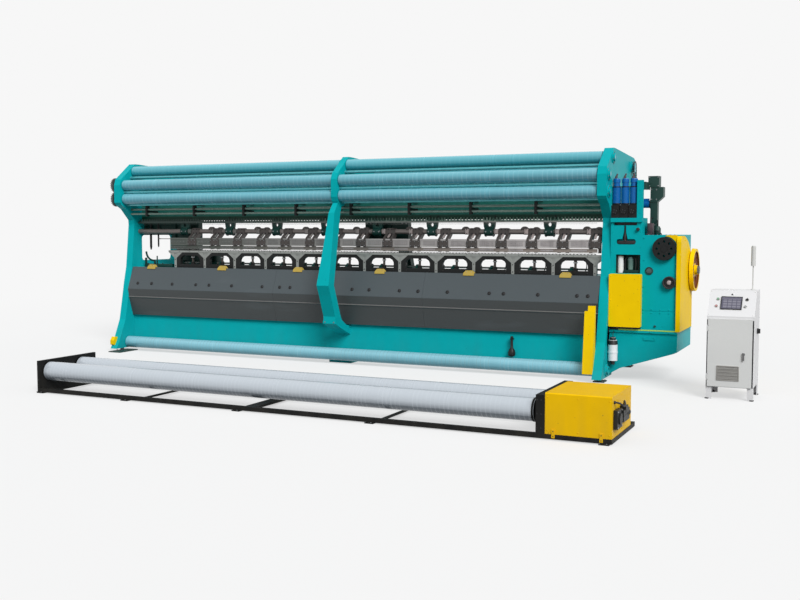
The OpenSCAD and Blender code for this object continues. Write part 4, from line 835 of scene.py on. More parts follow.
# ---------------------------------------------------------------- arches, pillars and knock-over bar
# Black cast arches stand side by side on the bed with bright machined pillars between them. They
# carry the knock-over bar, whose thin sinkers form the edge the fabric is drawn over.
pillar_steel = drawn_steel("machined_pillar_steel", (0.285, 0.30, 0.285), 0.25, 0.4)
dress(pillar_steel, "arch_pillars", "knock_over_bar")
pillar_x = [-2.536 + 0.471 * i for i in range(13)]
screwed("pillar_screws", [(x, 0.066, z) for x in pillar_x for z in (1.145, 1.225)], (0, -1, 0), 0.007,
        kind=socket_screw, finish=black_screw)
screwed("arch_foot_bolts", [(x + dx, 0.066, 1.140) for x in lift_x for dx in (-0.15, 0.15)],
        (0, -1, 0), 0.009, finish=black_screw)
glands = [turned([(0, 0.0142), (0, 0.0262), (0.002, 0.027), (0.007, 0.027), (0.009, 0.0245),
                  (0.009, 0.0142)], (x, 0.130, 1.1871), (0, 0, 1), 32, True) for x in lift_x]
fitted(welded(*glands), "lifting_rod_glands", "machine", black_enamel)
sinker = cut_block((-0.0005, 0.1085, 1.334), (0.0005, 0.1165, 1.3475), 0.0002, 1)
sinker.matrix_world = Matrix.Translation((-2.6405, 0, 0)) @ sinker.matrix_world
fitted(in_row(sinker, 1152, 0.005), "sinkers", "machine", pillar_steel)
screwed("knock_over_screws", [(-2.62 + 0.157 * i, 0.060, 1.3325) for i in range(37)], (0, -1, 0), 0.0045,
        kind=socket_screw, finish=black_screw)


# ---------------------------------------------------------------- needle bar levers behind the arches
# A cross shaft lies on the bed in cast bearing blocks. Each of its levers lifts one rod of the
# needle bar, and a bent oil pipe runs up behind every arch.
cross_shaft = turned([(0, 0.008), (0.003, 0.011), (5.697, 0.011), (5.70, 0.008)], (-2.53, 0.212, 1.180),
                     (1, 0, 0), 20)
fitted(cross_shaft, "lever_cross_shaft", "machine", pillar_steel)
blocks = [cut_block((x - half, y0, 1.1155), (x + half, y1, top), 0.005, 1) for x in pillar_x[:-1]
          for half, y0, y1, top in ((0.040, 0.186, 0.238, 1.196), (0.062, 0.180, 0.244, 1.131))]
blocks += [turned([(-0.044, 0.022), (-0.040, 0.026), (0.040, 0.026), (0.044, 0.022)], (x, 0.212, 1.180),
                  (1, 0, 0), 24) for x in pillar_x[:-1]]
fitted(welded(*blocks), "cross_shaft_bearings", "machine", casting_green)
lever_green = enamel("lever_green", (0.006, 0.105, 0.088), 0.42, 0.25, 0.7)
levers = [turned([(-0.020, 0.024), (-0.017, 0.028), (0.017, 0.028), (0.020, 0.024)],
                 (x - 0.062, 0.212, 1.180),
                 (1, 0, 0), 24) for x in lift_x]
levers += [cut_block((x + a, y0, z0), (x + b, y1, z1), 0.006, 1) for x in lift_x
           for a, b, y0, y1, z0, z1 in ((-0.079, -0.045, 0.166, 0.212, 1.172, 1.196),
                                        (-0.116, -0.022, 0.176, 0.250, 1.1155, 1.150),
                                        (-0.100, -0.036, 0.176, 0.196, 1.146, 1.172))]
fitted(welded(*levers), "needle_levers", "machine", lever_green)
screwed("cross_shaft_bearing_bolts", [(x + dx, 0.1798, 1.1235) for x in pillar_x[:-1]
                                      for dx in (-0.05, 0.05)],
        (0, -1, 0), 0.006, finish=black_screw)


def bent_pipe(points, radius, resolution=8):
    """A rigid pipe bent through the points."""
    clear_bench()
    bpy.ops.curve.primitive_bezier_curve_add(location=(0, 0, 0))
    pipe = bpy.context.object
    run = pipe.data
    run.dimensions = "3D"
    run.splines.clear()
    route = run.splines.new("BEZIER")
    route.bezier_points.add(len(points) - 1)
    for bend, spot in zip(route.bezier_points, points):
        bend.co = spot
        bend.handle_left_type = bend.handle_right_type = "AUTO"
    run.resolution_u = resolution
    run.bevel_depth = radius
    run.bevel_resolution = 2
    run.use_fill_caps = True
    bpy.ops.object.convert(target="MESH")
    return bpy.context.object


oil_pipe = bent_pipe([(0.082, 0.205, 1.118), (0.096, 0.205, 1.170), (0.108, 0.205, 1.225),
                      (0.096, 0.205, 1.268), (0.070, 0.205, 1.290)], 0.0055, 5)
pipe_spots = [Matrix.Translation((x, 0, 0)) for x in lift_x]
fitted(set_out(oil_pipe, pipe_spots), "arch_oil_pipes", "machine", casting_green, 60)


# ---------------------------------------------------------------- take-up roller and guards
# A covered roller draws the fabric down behind the apron. Yellow sheet guards stand in front of it at both
# ends.
take_up_steel = ringed_steel("covered_take_up", (0.14, 0.42, 0.52), (0.5, 0.72, 0.78, 1), 0.047, 0.15, 0.33,
                             0.25)
# The roller's upper side is painted paler and its underside darker: a painted highlight and painted shade.
painted_top_light(take_up_steel, 0.117, 8, 0.35, 0.7, (0.36, 0.66, 0.75, 1))
dress(take_up_steel, "take_up_roller")
screwed("take_up_guard_bolts", [(3.0895, y, z)
                                for y, z in ((-0.262, 0.20), (-0.243, 0.42), (-0.226, 0.64))],
        (-1, 0, 0), 0.008)


# ---------------------------------------------------------------- left bay of the head
# The head leaves its left bay free for threading. Two turned rods hang there from the
# beam, a draw rod runs out of the upper bar, and a bent pedal bracket is bolted to the bed.
hung = [turned([(0, 0.012), (0.02, 0.0155), (0.36, 0.0155), (0.366, 0.011), (0.386, 0.011), (0.390, 0.006)],
               (-3.078, 0.235, 1.738), (0, 0, -1), 16),
        turned([(0, 0.010), (0.02, 0.011), (0.335, 0.011), (0.340, 0.008), (0.352, 0.008), (0.356, 0.005)],
               (-2.950, 0.235, 1.738), (0, 0, -1), 16),
        turned([(0, 0.026), (0.014, 0.026), (0.018, 0.020)], (-3.078, 0.235, 1.7398), (0, 0, -1), 20),
        turned([(0, 0.022), (0.014, 0.022), (0.018, 0.016)], (-2.950, 0.235, 1.7398), (0, 0, -1), 20)]
fitted(welded(*hung), "hanging_rods", "machine", black_enamel)
draw_rod = turned([(0, 0.005), (0.003, 0.0065), (0.030, 0.0065), (0.031, 0.0045), (0.205, 0.0045)],
                  (-2.805, 0.056, 1.498), (1, 0, 0), 14)
fitted(draw_rod, "upper_bar_draw_rod", "upper_bar", needle_steel)
pedal = welded(bent_pipe([(-3.094, 0.150, 1.322), (-3.078, 0.150, 1.268), (-3.035, 0.150, 1.222),
                          (-2.985, 0.150, 1.204), (-2.945, 0.150, 1.203)], 0.013),
               cut_block((-2.960, 0.138, 1.150), (-2.938, 0.162, 1.216), 0.005),
               cut_block((-2.916, 0.142, 1.150), (-2.902, 0.158, 1.266), 0.004),
               cut_block((-3.110, 0.128, 1.1155), (-2.640, 0.172, 1.160), 0.008),
               cut_block((-3.110, 0.136, 1.150), (-3.086, 0.164, 1.240), 0.006))
fitted(pedal, "pedal_bracket", "machine", casting_green)
screwed("pedal_bracket_bolts", [(x, 0.150, 1.1598) for x in (-3.06, -2.82, -2.68)], (0, 0, 1), 0.009,
        finish=black_screw)

# A cleaning-air valve stands on the front apron in the last bay, held by a clip.
valve = welded(turned([(0, 0.030), (0.010, 0.040), (0.045, 0.042), (0.075, 0.030), (0.095, 0.016),
                       (0.200, 0.013),
                       (0.204, 0.017), (0.216, 0.017), (0.226, 0.012)], (2.205, -0.034, 0.200),
                      (0, 0, 1), 28),
               cut_block((2.185, -0.052, 0.386), (2.225, -0.001, 0.400), 0.003),
               cut_block((2.175, -0.030, 0.232), (2.235, -0.001, 0.250), 0.003))
fitted(valve, "apron_air_valve", "machine", black_enamel, 45)


# ---------------------------------------------------------------- side housing
# A sheet housing in the machine's teal beside the right frame. A lever works in the keyhole slot
# under the shelf, and a clear oil canister stands in the recess below it.
dress(teal, "side_housing", "drive_housing", "drive_bracket")
black_plastic = powder("black_moulding", (0.010, 0.010, 0.011), gloss=0.5, grain=0.2)
lever_x, lever_foot = 3.45075, 1.493
lever = welded(
    turned([(0, 0.009), (0.050, 0.011), (0.085, 0.015), (0.115, 0.019), (0.150, 0.020), (0.165, 0.016)],
           (lever_x, 0.0203, 1.666), (0, 0, -1), 24),
    turned([(0, 0.014), (0.004, 0.019), (0.012, 0.020), (0.018, 0.016)],
           (lever_x, 0.0203, lever_foot), (0, 0, 1), 24))
fitted(lever, "slot_lever", "machine", black_plastic, 50)
# The black liners at the back of the slot and of the keyhole stand for the shade in these recesses: painted
# shade.
slot_shade_liners = [cut_block((3.334, 0.030, 1.669), (3.576, 0.0395, 1.6995)),
               cut_block((3.364, 0.008, 1.4655), (3.566, 0.0395, 1.5030), 0.006)]
fitted(welded(*slot_shade_liners), "slot_shade_liners", "machine", black_plastic)
screwed("housing_screws", [(x, -0.0001, z) for x in (3.316, 3.617) for z in (1.60, 1.44, 1.38)] +
        [(3.603, -0.0001, z) for z in (1.80, 1.92, 2.04, 2.12)], (0, -1, 0), 0.006,
        finish=teal, kind=dome_screw)
fitted(turned([(0, 0.0185), (0.012, 0.0185), (0.018, 0.0165), (0.022, 0.011), (0.022, 0.004)],
              (3.592, -0.012, 1.626), (0, -1, 0), 32), "shelf_knob", "machine", black_plastic)
recess_bezel = [cut_block((3.350, -0.003, 1.149), (3.626, 0.001, 1.157)),
                cut_block((3.350, -0.003, 1.355), (3.626, 0.001, 1.363)),
                cut_block((3.350, -0.003, 1.155), (3.358, 0.001, 1.357)),
                cut_block((3.618, -0.003, 1.155), (3.626, 0.001, 1.357))]
fitted(welded(*recess_bezel), "canister_recess_rim", "machine", teal)
canister_top = turned([(0, 0.033), (0.006, 0.034), (0.010, 0.033), (0.012, 0.020), (0.0145, 0.018)],
                      (3.396, 0.060, 1.339), (0, 0, 1), 36)
fitted(canister_top, "canister_cap", "machine", black_plastic)
# The dark green walls lining the recess stand for the shade inside it: painted shade. The block on the
# recess floor carries the filter bowl.
recess_shade_walls = [cut_block((3.3583, 0.120, 1.1573), (3.6177, 0.1297, 1.3547)),
                cut_block((3.3583, 0.004, 1.1573), (3.3610, 0.122, 1.3547), 0.0005, 1),
                cut_block((3.6150, 0.004, 1.1573), (3.6177, 0.122, 1.3547), 0.0005, 1),
                cut_block((3.3583, 0.004, 1.1573), (3.6177, 0.122, 1.1600), 0.0005, 1),
                cut_block((3.434, 0.030, 1.1590), (3.612, 0.100, 1.1900), 0.004)]
fitted(welded(*recess_shade_walls), "canister_recess_shade_lining", "machine", casting_green)
filter_grey = enamel("filter_bowl_grey", (0.10, 0.19, 0.18), 0.3, 0.4, 0.1)
filter_x = 3.503
filter_bowl = turned([(0, 0.020), (0.006, 0.027), (0.100, 0.028), (0.106, 0.031), (0.118, 0.031),
                      (0.124, 0.024),
                      (0.138, 0.022), (0.142, 0.012)], (filter_x, 0.062, 1.189), (0, 0, 1), 32)
fitted(filter_bowl, "oil_filter_bowl", "machine", filter_grey)
filter_pipes = [bent_pipe([(filter_x + 0.022 * side, 0.062, 1.320), (filter_x + 0.046 * side, 0.058, 1.318),
                           (filter_x + 0.056 * side, 0.056, 1.290),
                           (filter_x + 0.056 * side, 0.056, 1.188)], 0.006)
                for side in (-1, 1)]
filter_pipes.append(bent_pipe([(3.590, 0.075, 1.350), (3.590, 0.075, 1.300), (3.594, 0.070, 1.240),
                               (3.590, 0.066, 1.188)], 0.009))
fitted(welded(*filter_pipes), "oil_filter_pipes", "machine", black_plastic, 60)

# The side cover is a dished sheet cover in safety yellow on four captive screws.
cover_spots = [(x, -0.070, z) for x in (3.322, 3.621) for z in (0.606, 0.868, 1.129)]
screwed("side_cover_screws", cover_spots, (0, -1, 0), 0.007, finish=yellow, kind=dome_screw)
# A black strip fills the gap under the side cover, where there is only shade: painted shade.
cover_shade_strip = cut_block((3.306, -0.014, 0.5495), (3.634, -0.0005, 0.584), 0.003)
fitted(cover_shade_strip, "side_cover_shade_strip", "machine", black_plastic)


# ---------------------------------------------------------------- let-off motors
# Three servo motors in blue on black worm gearboxes. Each motor has a ribbed body, a brake cap
# and a moulded connector at the back.
motor_blue = enamel("motor_blue", (0.004, 0.125, 0.40), 0.28, 0.3, 0.1)
dress(motor_blue, "let_off_motors", "shog_motor")
motor_x = [3.344, 3.436, 3.528]
rib = cut_block((-0.0012, 0.0405, 1.905), (0.0012, 0.0435, 2.070), 0.0006, 1)
rib_spots = [Matrix.Translation((x, 0.060, 0)) @ Matrix.Rotation(radians(15 * k + 7.5), 4, "Z")
             for x in motor_x for k in range(24)]
fitted(set_out(rib, rib_spots), "motor_ribs", "machine", motor_blue)
flanges = [turned([(0, 0.0421), (0, 0.0445), (0.002, 0.0455), (0.008, 0.0455), (0.010, 0.0445),
                   (0.010, 0.0421)], (x, 0.060, z), (0, 0, 1), 48, True)
           for x in motor_x for z in (1.8935, 2.073)]
fitted(welded(*flanges), "motor_end_bells", "machine", black_enamel)
caps = [turned([(0, 0.0392), (0.003, 0.0392), (0.010, 0.036), (0.014, 0.026), (0.015, 0.006)],
               (x, 0.060, 2.1545), (0, 0, 1), 40) for x in motor_x]
fitted(welded(*caps), "motor_caps", "machine", motor_blue)
sockets = [cut_block((x - 0.014, 0.096, z), (x + 0.014, 0.124, z + 0.034), 0.004, 2)
           for x in motor_x for z in (1.985, 2.032)]
fitted(welded(*sockets), "motor_connectors", "machine", black_plastic)
screwed("gearbox_screws", [(x + dx, -0.0041, z) for x in motor_x for dx in (-0.033, 0.033)
                           for z in (1.757, 1.871)], (0, -1, 0), 0.006, kind=socket_screw,
        finish=black_screw)
screwed("gearbox_cap_screws", [(x + 0.019 * cos(a), -0.0221, 1.816 + 0.019 * sin(a)) for x in motor_x
                               for a in (0.5, 2.1, 3.7, 5.2)], (0, -1, 0), 0.0035, kind=socket_screw,
        finish=bolt_steel)
plugs = [turned([(0, 0.013), (0.010, 0.014), (0.030, 0.014), (0.034, 0.010), (0.060, 0.009),
                 (0.064, 0.006)],
                (x - 0.012, 0.044, 2.160), (0.25, 0.35, 1), 20) for x in motor_x]
plug_rubber = powder("plug_rubber", (0.060, 0.036, 0.045), gloss=0.55, grain=0.25)
fitted(welded(*plugs), "motor_plugs", "machine", plug_rubber)


# ---------------------------------------------------------------- drive housing
# The cast gear case of the pattern drive. A disc with eight holes and a small recessed hand wheel
# stand on its front, with a round oil sight above the case seam.
sight_ring = turned([(0, 0.036), (0, 0.043), (0.0042, 0.043), (0.007, 0.0402), (0.007, 0.036)],
                    (3.712, -0.0001, 1.185), (0, -1, 0), 40, True)
fitted(sight_ring, "sight_ring", "machine", dark_green)
oil_glass = Finish("oil_glass", {"Roughness": 0.06, "Specular IOR Level": 0.6, "Coat Weight": 0.6})
level = oil_glass.step(oil_glass.along("Z"), 1.180, 0.003)
oil_glass.lay(colour=oil_glass.mixed(level, (0.004, 0.030, 0.026, 1), (0.006, 0.062, 0.060, 1)))
lens = turned([(0, 0.0358), (0.002, 0.0352), (0.0035, 0.030), (0.0045, 0.018), (0.0048, 0.004)],
              (3.712, 0.006, 1.185), (0, -1, 0), 40)
fitted(lens, "oil_sight", "machine", oil_glass, 60)
screwed("case_screws", [(x, -0.0001, z) for x in (3.655, 3.745, 3.835, 3.925) for z in (0.742, 0.778)] +
        [(3.655, -0.0001, 1.02), (3.655, -0.0001, 1.30), (3.655, -0.0001, 1.535)], (0, -1, 0), 0.0075,
        finish=teal)
screwed("case_top_screws", [(3.70 + 0.045 * i, 0.010, 1.5651) for i in range(7)], (0, 0, 1), 0.007)
screwed("case_foot_screws", [(x, -0.0061, 0.559) for x in (3.665, 3.775, 3.885, 3.975)],
        (0, -1, 0), 0.006, kind=socket_screw, finish=teal)
# A thin lime strip along the ledge's front edge stands for the light caught on that edge: a painted
# highlight.
ledge_highlight_lime = powder("ledge_highlight_lime", (0.42, 0.66, 0.10), gloss=0.5, grain=0.15)
fitted(cut_block((3.400, -0.0206, 0.5475), (4.018, -0.0178, 0.5610), 0.0008, 1), "ledge_highlight_strip", "machine",
       ledge_highlight_lime)
drain = turned([(0, 0.013), (0.003, 0.013), (0.003, 0.009), (0.009, 0.009), (0.010, 0.008)],
               (3.785, -0.0081, 0.600), (0, -1, 0), 6)
fitted(drain, "drain_plug", "machine", dark_green)
screwed("bracket_plate_screws", [(x, -0.0081, 0.4645) for x in (3.678, 3.779)], (0, -1, 0), 0.005,
        kind=dome_screw, finish=teal)
screwed("bracket_bolts", [(x, -0.0181, 0.536) for x in (3.36, 3.55, 3.74, 3.93)], (0, -1, 0), 0.008,
        finish=teal)

disc = Vector((3.873, 0, 1.423))
screwed("pattern_disc_screws", [(disc.x + 0.024 * cos(a), -0.0621, disc.z + 0.024 * sin(a))
                                for a in (0.3, 2.4, 4.5)], (0, -1, 0), 0.005, "pattern",
        kind=socket_screw, finish=black_screw)
disc_rim = turned([(0, 0.1085), (0, 0.1185), (0.003, 0.1200), (0.005, 0.1185), (0.005, 0.1085)],
                  (disc.x, -0.0499, disc.z), (0, -1, 0), 72, True)
fitted(disc_rim, "pattern_disc_rim", "pattern", black_enamel)
wheel = Vector((3.928, 0, 1.067))
dress(black_plastic, "hand_wheel")
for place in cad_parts["hand_wheel"].material_slots[1:]:
    place.material = boss_steel.material
wheel_rim = turned([(0, 0.0505), (0, 0.064), (0.004, 0.0665), (0.009, 0.0665), (0.012, 0.061),
                    (0.011, 0.053), (0.006, 0.0495)], (wheel.x, -0.037, wheel.z), (0, -1, 0), 56, True)
fitted(wheel_rim, "hand_wheel_rim", "turning_wheel", black_plastic, 50)
hub_cap = turned([(0, 0.0235), (0.003, 0.0245), (0.008, 0.0235), (0.012, 0.018), (0.013, 0.006)],
                 (wheel.x, -0.0335, wheel.z), (0, -1, 0), 32)
fitted(hub_cap, "hand_wheel_cap", "turning_wheel", collar_metal, 50)
crank = turned([(0, 0.006), (0.006, 0.0085), (0.020, 0.0095), (0.028, 0.0075), (0.030, 0.003)],
               (wheel.x + 0.034, -0.027, wheel.z + 0.01), (0, -1, 0), 24)
fitted(crank, "hand_wheel_grip", "turning_wheel", black_plastic, 50)


# ---------------------------------------------------------------- belt cover, flywheel and main shaft
# A yellow sheet cover closes the belt drive at the machine's end. The spoked flywheel outside it
# turns with the main shaft, keyed and drawn up with a nut.
screwed("belt_cover_screws", [(4.0451, y, z) for y, z in ((0.012, 0.62), (0.012, 0.95), (0.012, 1.28),
                              (0.20, 1.51), (0.41, 1.46), (0.60, 1.34), (0.68, 1.05), (0.69, 0.62))],
        (1, 0, 0), 0.007, finish=yellow, kind=dome_screw)
shaft_y, shaft_z = 0.650, 1.18
wheel_yellow = enamel("flywheel_enamel", (0.94, 0.595, 0.002), 0.42, 0.05, 0.3, 0.1)
outer = wheel_yellow.tone()
off_axis = (wheel_yellow.along("Y") - shaft_y) ** 2 + (wheel_yellow.along("Z") - shaft_z) ** 2
face = wheel_yellow.step(wheel_yellow.along("X"), 4.060, 0.001)
# Inside the rim the wheel's outer face is laid dark brown: painted shade on the web.
web = (1 - wheel_yellow.step(off_axis, 0.0428, 0.001)) * wheel_yellow.step(off_axis, 0.0052, 0.0004) * face
wheel_yellow.lay(colour=wheel_yellow.mixed(web, outer, (0.17, 0.050, 0.012, 1)))
dress(wheel_yellow, "flywheel")
rim_lip = turned([(0, 0.2332), (0, 0.2355), (0.002, 0.237), (0.006, 0.237), (0.008, 0.2355),
                  (0.008, 0.2332)], (4.056, shaft_y, shaft_z), (1, 0, 0), 96, True)
fitted(rim_lip, "flywheel_lip", "drive", yellow)
nut = turned([(0, 0.046), (0.004, 0.046), (0.004, 0.041), (0.018, 0.041), (0.021, 0.034)],
             (4.1131, shaft_y, shaft_z), (1, 0, 0), 6)
fitted(nut, "flywheel_nut", "drive", bolt_steel)
screwed("flywheel_hub_screws", [(4.1091, shaft_y + 0.0455 * cos(a), shaft_z + 0.0455 * sin(a))
                                for a in (0.5, 2.07, 3.64, 5.21)], (1, 0, 0), 0.005, "drive",
        kind=socket_screw, finish=plated_screw)
shaft_seal = turned([(0, 0.0405), (0, 0.060), (0.003, 0.060), (0.003, 0.0405)],
                    (4.0452, shaft_y, shaft_z), (1, 0, 0), 48, True)
fitted(shaft_seal, "belt_cover_collar", "machine", black_plastic)


# ---------------------------------------------------------------- shog unit and its motor
# The unit that shifts the guide bars sideways: a tall green casting, screwed at its steps. A blue
# ribbed motor lies on it behind a black flange.
screwed("shog_unit_screws", [(3.66 + dx, 0.2619, z) for dx in (0.012, 0.064)
                             for z in (1.945, 2.05)] +
        [(3.66 + dx, 0.2559, z) for dx in (-0.012, 0.080) for z in (2.092, 2.184)] +
        [(3.638 + dx, 0.2499, z) for dx in (0.014, 0.074) for z in (1.582, 1.672)], (0, -1, 0), 0.007)
shog_flange = turned([(0, 0.0382), (0, 0.046), (0.003, 0.047), (0.007, 0.047), (0.009, 0.0455),
                      (0.009, 0.0382)], (3.6585, 0.310, 1.895), (-1, 0, 0), 44, True)
fitted(shog_flange, "shog_motor_flange", "machine", black_enamel)
shog_ribs = cut_block((3.575, 0.0365, -0.0012), (3.645, 0.0395, 0.0012), 0.0006, 1)
fitted(set_out(shog_ribs, [Matrix.Translation((0, 0.310, 1.895)) @ Matrix.Rotation(radians(18 * k + 9),
                                                                                   4, "X")
                           for k in range(20) if k not in (4, 5)]), "shog_motor_ribs", "machine",
       motor_blue)


# ---------------------------------------------------------------- lubricator
# A white moulded grease bottle on a clip, with a black pump head and a thin steel feed pipe that
# runs up behind the side cover.
white_plastic = powder("white_moulding", (0.80, 0.83, 0.85), gloss=0.36, grain=0.12)
dress(white_plastic, "lubricator")
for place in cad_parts["lubricator"].material_slots[1:2]:
    place.material = black_plastic.material
bottle = (3.354, -0.062)
grease_pipe = bent_pipe([(*bottle, 0.468), (*bottle, 0.50), (3.352, -0.040, 0.522),
                         (3.350, -0.0195, 0.530)], 0.003)
fitted(grease_pipe, "grease_pipe", "machine", black_screw, 60)
band = turned([(0, 0.0502), (0, 0.0535), (0.016, 0.0535), (0.016, 0.0502)], (*bottle, 0.302),
              (0, 0, 1), 44, True)
fitted(band, "bottle_band", "machine", white_plastic)
pump_head = [turned([(0, 0.0505), (0, 0.0525), (0.006, 0.0535), (0.012, 0.0515), (0.030, 0.0500),
                     (0.043, 0.0455),
                     (0.0435, 0.0300)], (*bottle, 0.394), (0, 0, 1), 40),
             turned([(0, 0.0305), (0.030, 0.0315), (0.036, 0.026), (0.037, 0.010)], (*bottle, 0.437),
                    (0, 0, 1), 32),
             turned([(0, 0.022), (0.022, 0.0235), (0.040, 0.0235), (0.0405, 0.021)], (*bottle, 0.1795),
                    (0, 0, 1), 28)]
fitted(welded(*pump_head), "grease_pump_head", "machine", black_plastic, 45)

# A brake relay box, a small oil pump and their rigid pipes stand on the drive housing's flat top.
pump_box = [cut_block((3.664, 0.100, 1.5652), (3.716, 0.205, 1.690), 0.004),
            cut_block((3.658, 0.094, 1.5652), (3.722, 0.211, 1.578), 0.003),
            cut_block((3.672, 0.092, 1.600), (3.708, 0.101, 1.672), 0.003)]
fitted(welded(*pump_box), "relay_box", "machine", plug_rubber)
pump = [turned([(0, 0.030), (0.006, 0.034), (0.070, 0.034), (0.080, 0.026), (0.090, 0.024), (0.094, 0.010)],
               (3.765, 0.150, 1.5652), (0, 0, 1), 32),
        turned([(0, 0.014), (0.040, 0.014), (0.044, 0.010)], (3.765, 0.118, 1.612), (0, -1, 0), 20)]
fitted(welded(*pump), "drive_oil_pump", "machine", dark_green, 45)
top_pipes = [bent_pipe([(3.765, 0.150, 1.655), (3.765, 0.150, 1.700), (3.752, 0.185, 1.722),
                        (3.738, 0.255, 1.724)],
                       0.006),
             bent_pipe([(3.765, 0.078, 1.612), (3.768, 0.052, 1.612), (3.800, 0.040, 1.600),
                        (3.830, 0.042, 1.572)],
                       0.006),
             bent_pipe([(3.690, 0.150, 1.688), (3.690, 0.152, 1.725), (3.688, 0.190, 1.745),
                        (3.686, 0.262, 1.748)],
                       0.007)]
fitted(welded(*top_pipes), "drive_oil_pipes", "machine", black_plastic, 60)


# ---------------------------------------------------------------- batching stand
# A welded frame of square tube in black enamel that stands free in front of the machine, with the
# fabric's two winding rollers between its bearing plates.
stand_black = enamel("stand_black_enamel", (0.007, 0.0075, 0.008), 0.5, 0.1, 0.3, 0.16,
                     (0.10, 0.09, 0.08, 1))
dress(stand_black, "batch_stand")
batch_axes = [(-3.160, 0.205), (-2.710, 0.203)]
flanges = [turned([(0, 0.0305), (0, 0.058), (0.008, 0.058), (0.012, 0.053), (0.014, 0.044),
                   (0.020, 0.042), (0.020, 0.0305)], (-1.640, y, z), (-1, 0, 0), 44, True)
           for y, z in batch_axes]
fitted(welded(*flanges), "roller_flange_bearings", "machine", stand_black)
screwed("flange_bearing_bolts", [(-1.6482, y + 0.049 * cos(a), z + 0.049 * sin(a))
                                 for y, z in batch_axes
                                 for a in (pi / 4, 3 * pi / 4, 5 * pi / 4, 7 * pi / 4)],
        (-1, 0, 0), 0.006)
screwed("stand_plate_bolts", [(x, -3.3001, z) for x in (3.531, 3.564) for z in (0.09, 0.20, 0.31)],
        (0, -1, 0), 0.006, finish=black_screw)
screwed("stand_pad_bolts", [(x + dx, y, 0.0121) for x in (-1.60, -0.54, 0.73, 2.07, 4.056)
                            for dx, y in ((-0.027, -3.3205), (0.027, -3.3205), (-0.027, -2.4785),
                                          (0.027, -2.4785))], (0, 0, 1), 0.006)
batch_steel = ringed_steel("wound_batch_steel", (0.15, 0.18, 0.215), (0.62, 0.68, 0.73, 1), 0.040, 0.15,
                           0.25,
                           0.4)
# The rollers' upper side is painted paler and their underside darker: a painted highlight and painted
# shade.
painted_top_light(batch_steel, 0.204, 13, 1.0, 0.85, (0.56, 0.61, 0.66, 1))
dress(batch_steel, "batch_roller_front", "batch_roller_back")
for word, body, (y, z) in (("front", "batch_front", batch_axes[0]), ("back", "batch_back", batch_axes[1])):
    chuck = welded(
        turned([(0, 0.0931), (0, 0.0955), (0.004, 0.097), (0.012, 0.097), (0.016, 0.0945), (0.016, 0.0931)],
               (3.466, y, z), (1, 0, 0), 72, True),
        turned([(0, 0.091), (0.0015, 0.091), (0.0015, 0.075), (0.005, 0.072), (0.005, 0.034)],
               (3.485, y, z), (1, 0, 0), 72))
    fitted(chuck, "roller_chuck_" + word, body, stand_black)
    screwed("roller_end_screws_" + word, [(-1.6001, y + 0.062 * cos(tau * k / 6),
                                           z + 0.062 * sin(tau * k / 6))
                                          for k in range(6)], (-1, 0, 0), 0.006, body,
            kind=socket_screw)


# ---------------------------------------------------------------- batcher drive cover and gearmotor
# A folded sheet cover in safety yellow over the roller drive, on two hooked straps. The geared
# motor stands on the cover's outer end with its terminal box and rubber lead.
cover_yellow = enamel("cover_yellow", (0.84, 0.50, 0.002), 0.4, 0.06, 0.3, 0.1, (0.25, 0.17, 0.03, 1))
dress(cover_yellow, "batch_drive_cover")
screwed("drive_cover_screws", [(x, -3.2961, z) for x in (3.613, 3.855, 4.097) for z in (0.075, 0.335)],
        (0, -1, 0), 0.006, finish=cover_yellow, kind=dome_screw)
screwed("drive_cover_end_screws", [(4.1161, y, z) for y in (-3.275, -2.98, -2.67) for z in (0.075, 0.345)
                                   if (y, z) != (-3.275, 0.345)], (1, 0, 0), 0.006,
        finish=cover_yellow, kind=dome_screw)
screwed("cover_strap_screws", [(x, -3.3041, z) for x in (3.662, 4.037) for z in (0.034, 0.072)],
        (0, -1, 0), 0.005, finish=black_screw, kind=dome_screw)
screwed("gearmotor_screws", [(4.1501, y, z) for y in (-3.248, -3.122) for z in (0.130, 0.250)],
        (1, 0, 0), 0.006, kind=socket_screw, finish=plated_screw)
cooling = turned([(0, 0.0252), (0, 0.0275), (0.0022, 0.0275), (0.0022, 0.0252)], sides=36, bored=True)
fin_spots = [aimed((4.142, -2.985 + 0.0085 * k, 0.196), (0, 1, 0)) for k in range(11)]
gear_grey = enamel("gearmotor_grey", (0.045, 0.048, 0.05), 0.45, 0.35, 0.5)
fitted(set_out(cooling, fin_spots), "gearmotor_fins", "machine", gear_grey)
rubber = powder("lead_rubber", (0.016, 0.016, 0.017), gloss=0.55, grain=0.25)
dress(rubber, "batch_motor_lead")
glands = [turned([(0, 0.0085), (0, 0.0125), (0.006, 0.0125), (0.012, 0.0105), (0.014, 0.0085)],
                 (4.1162, -3.240, 0.322), (1, 0, 0), 18, True),
          turned([(0, 0.0085), (0, 0.0125), (0.006, 0.0125), (0.012, 0.0105), (0.014, 0.0085)],
                 (4.142, -3.010, 0.2682), (0, 0, 1), 18, True)]
fitted(welded(*glands), "lead_glands", "machine", black_plastic)


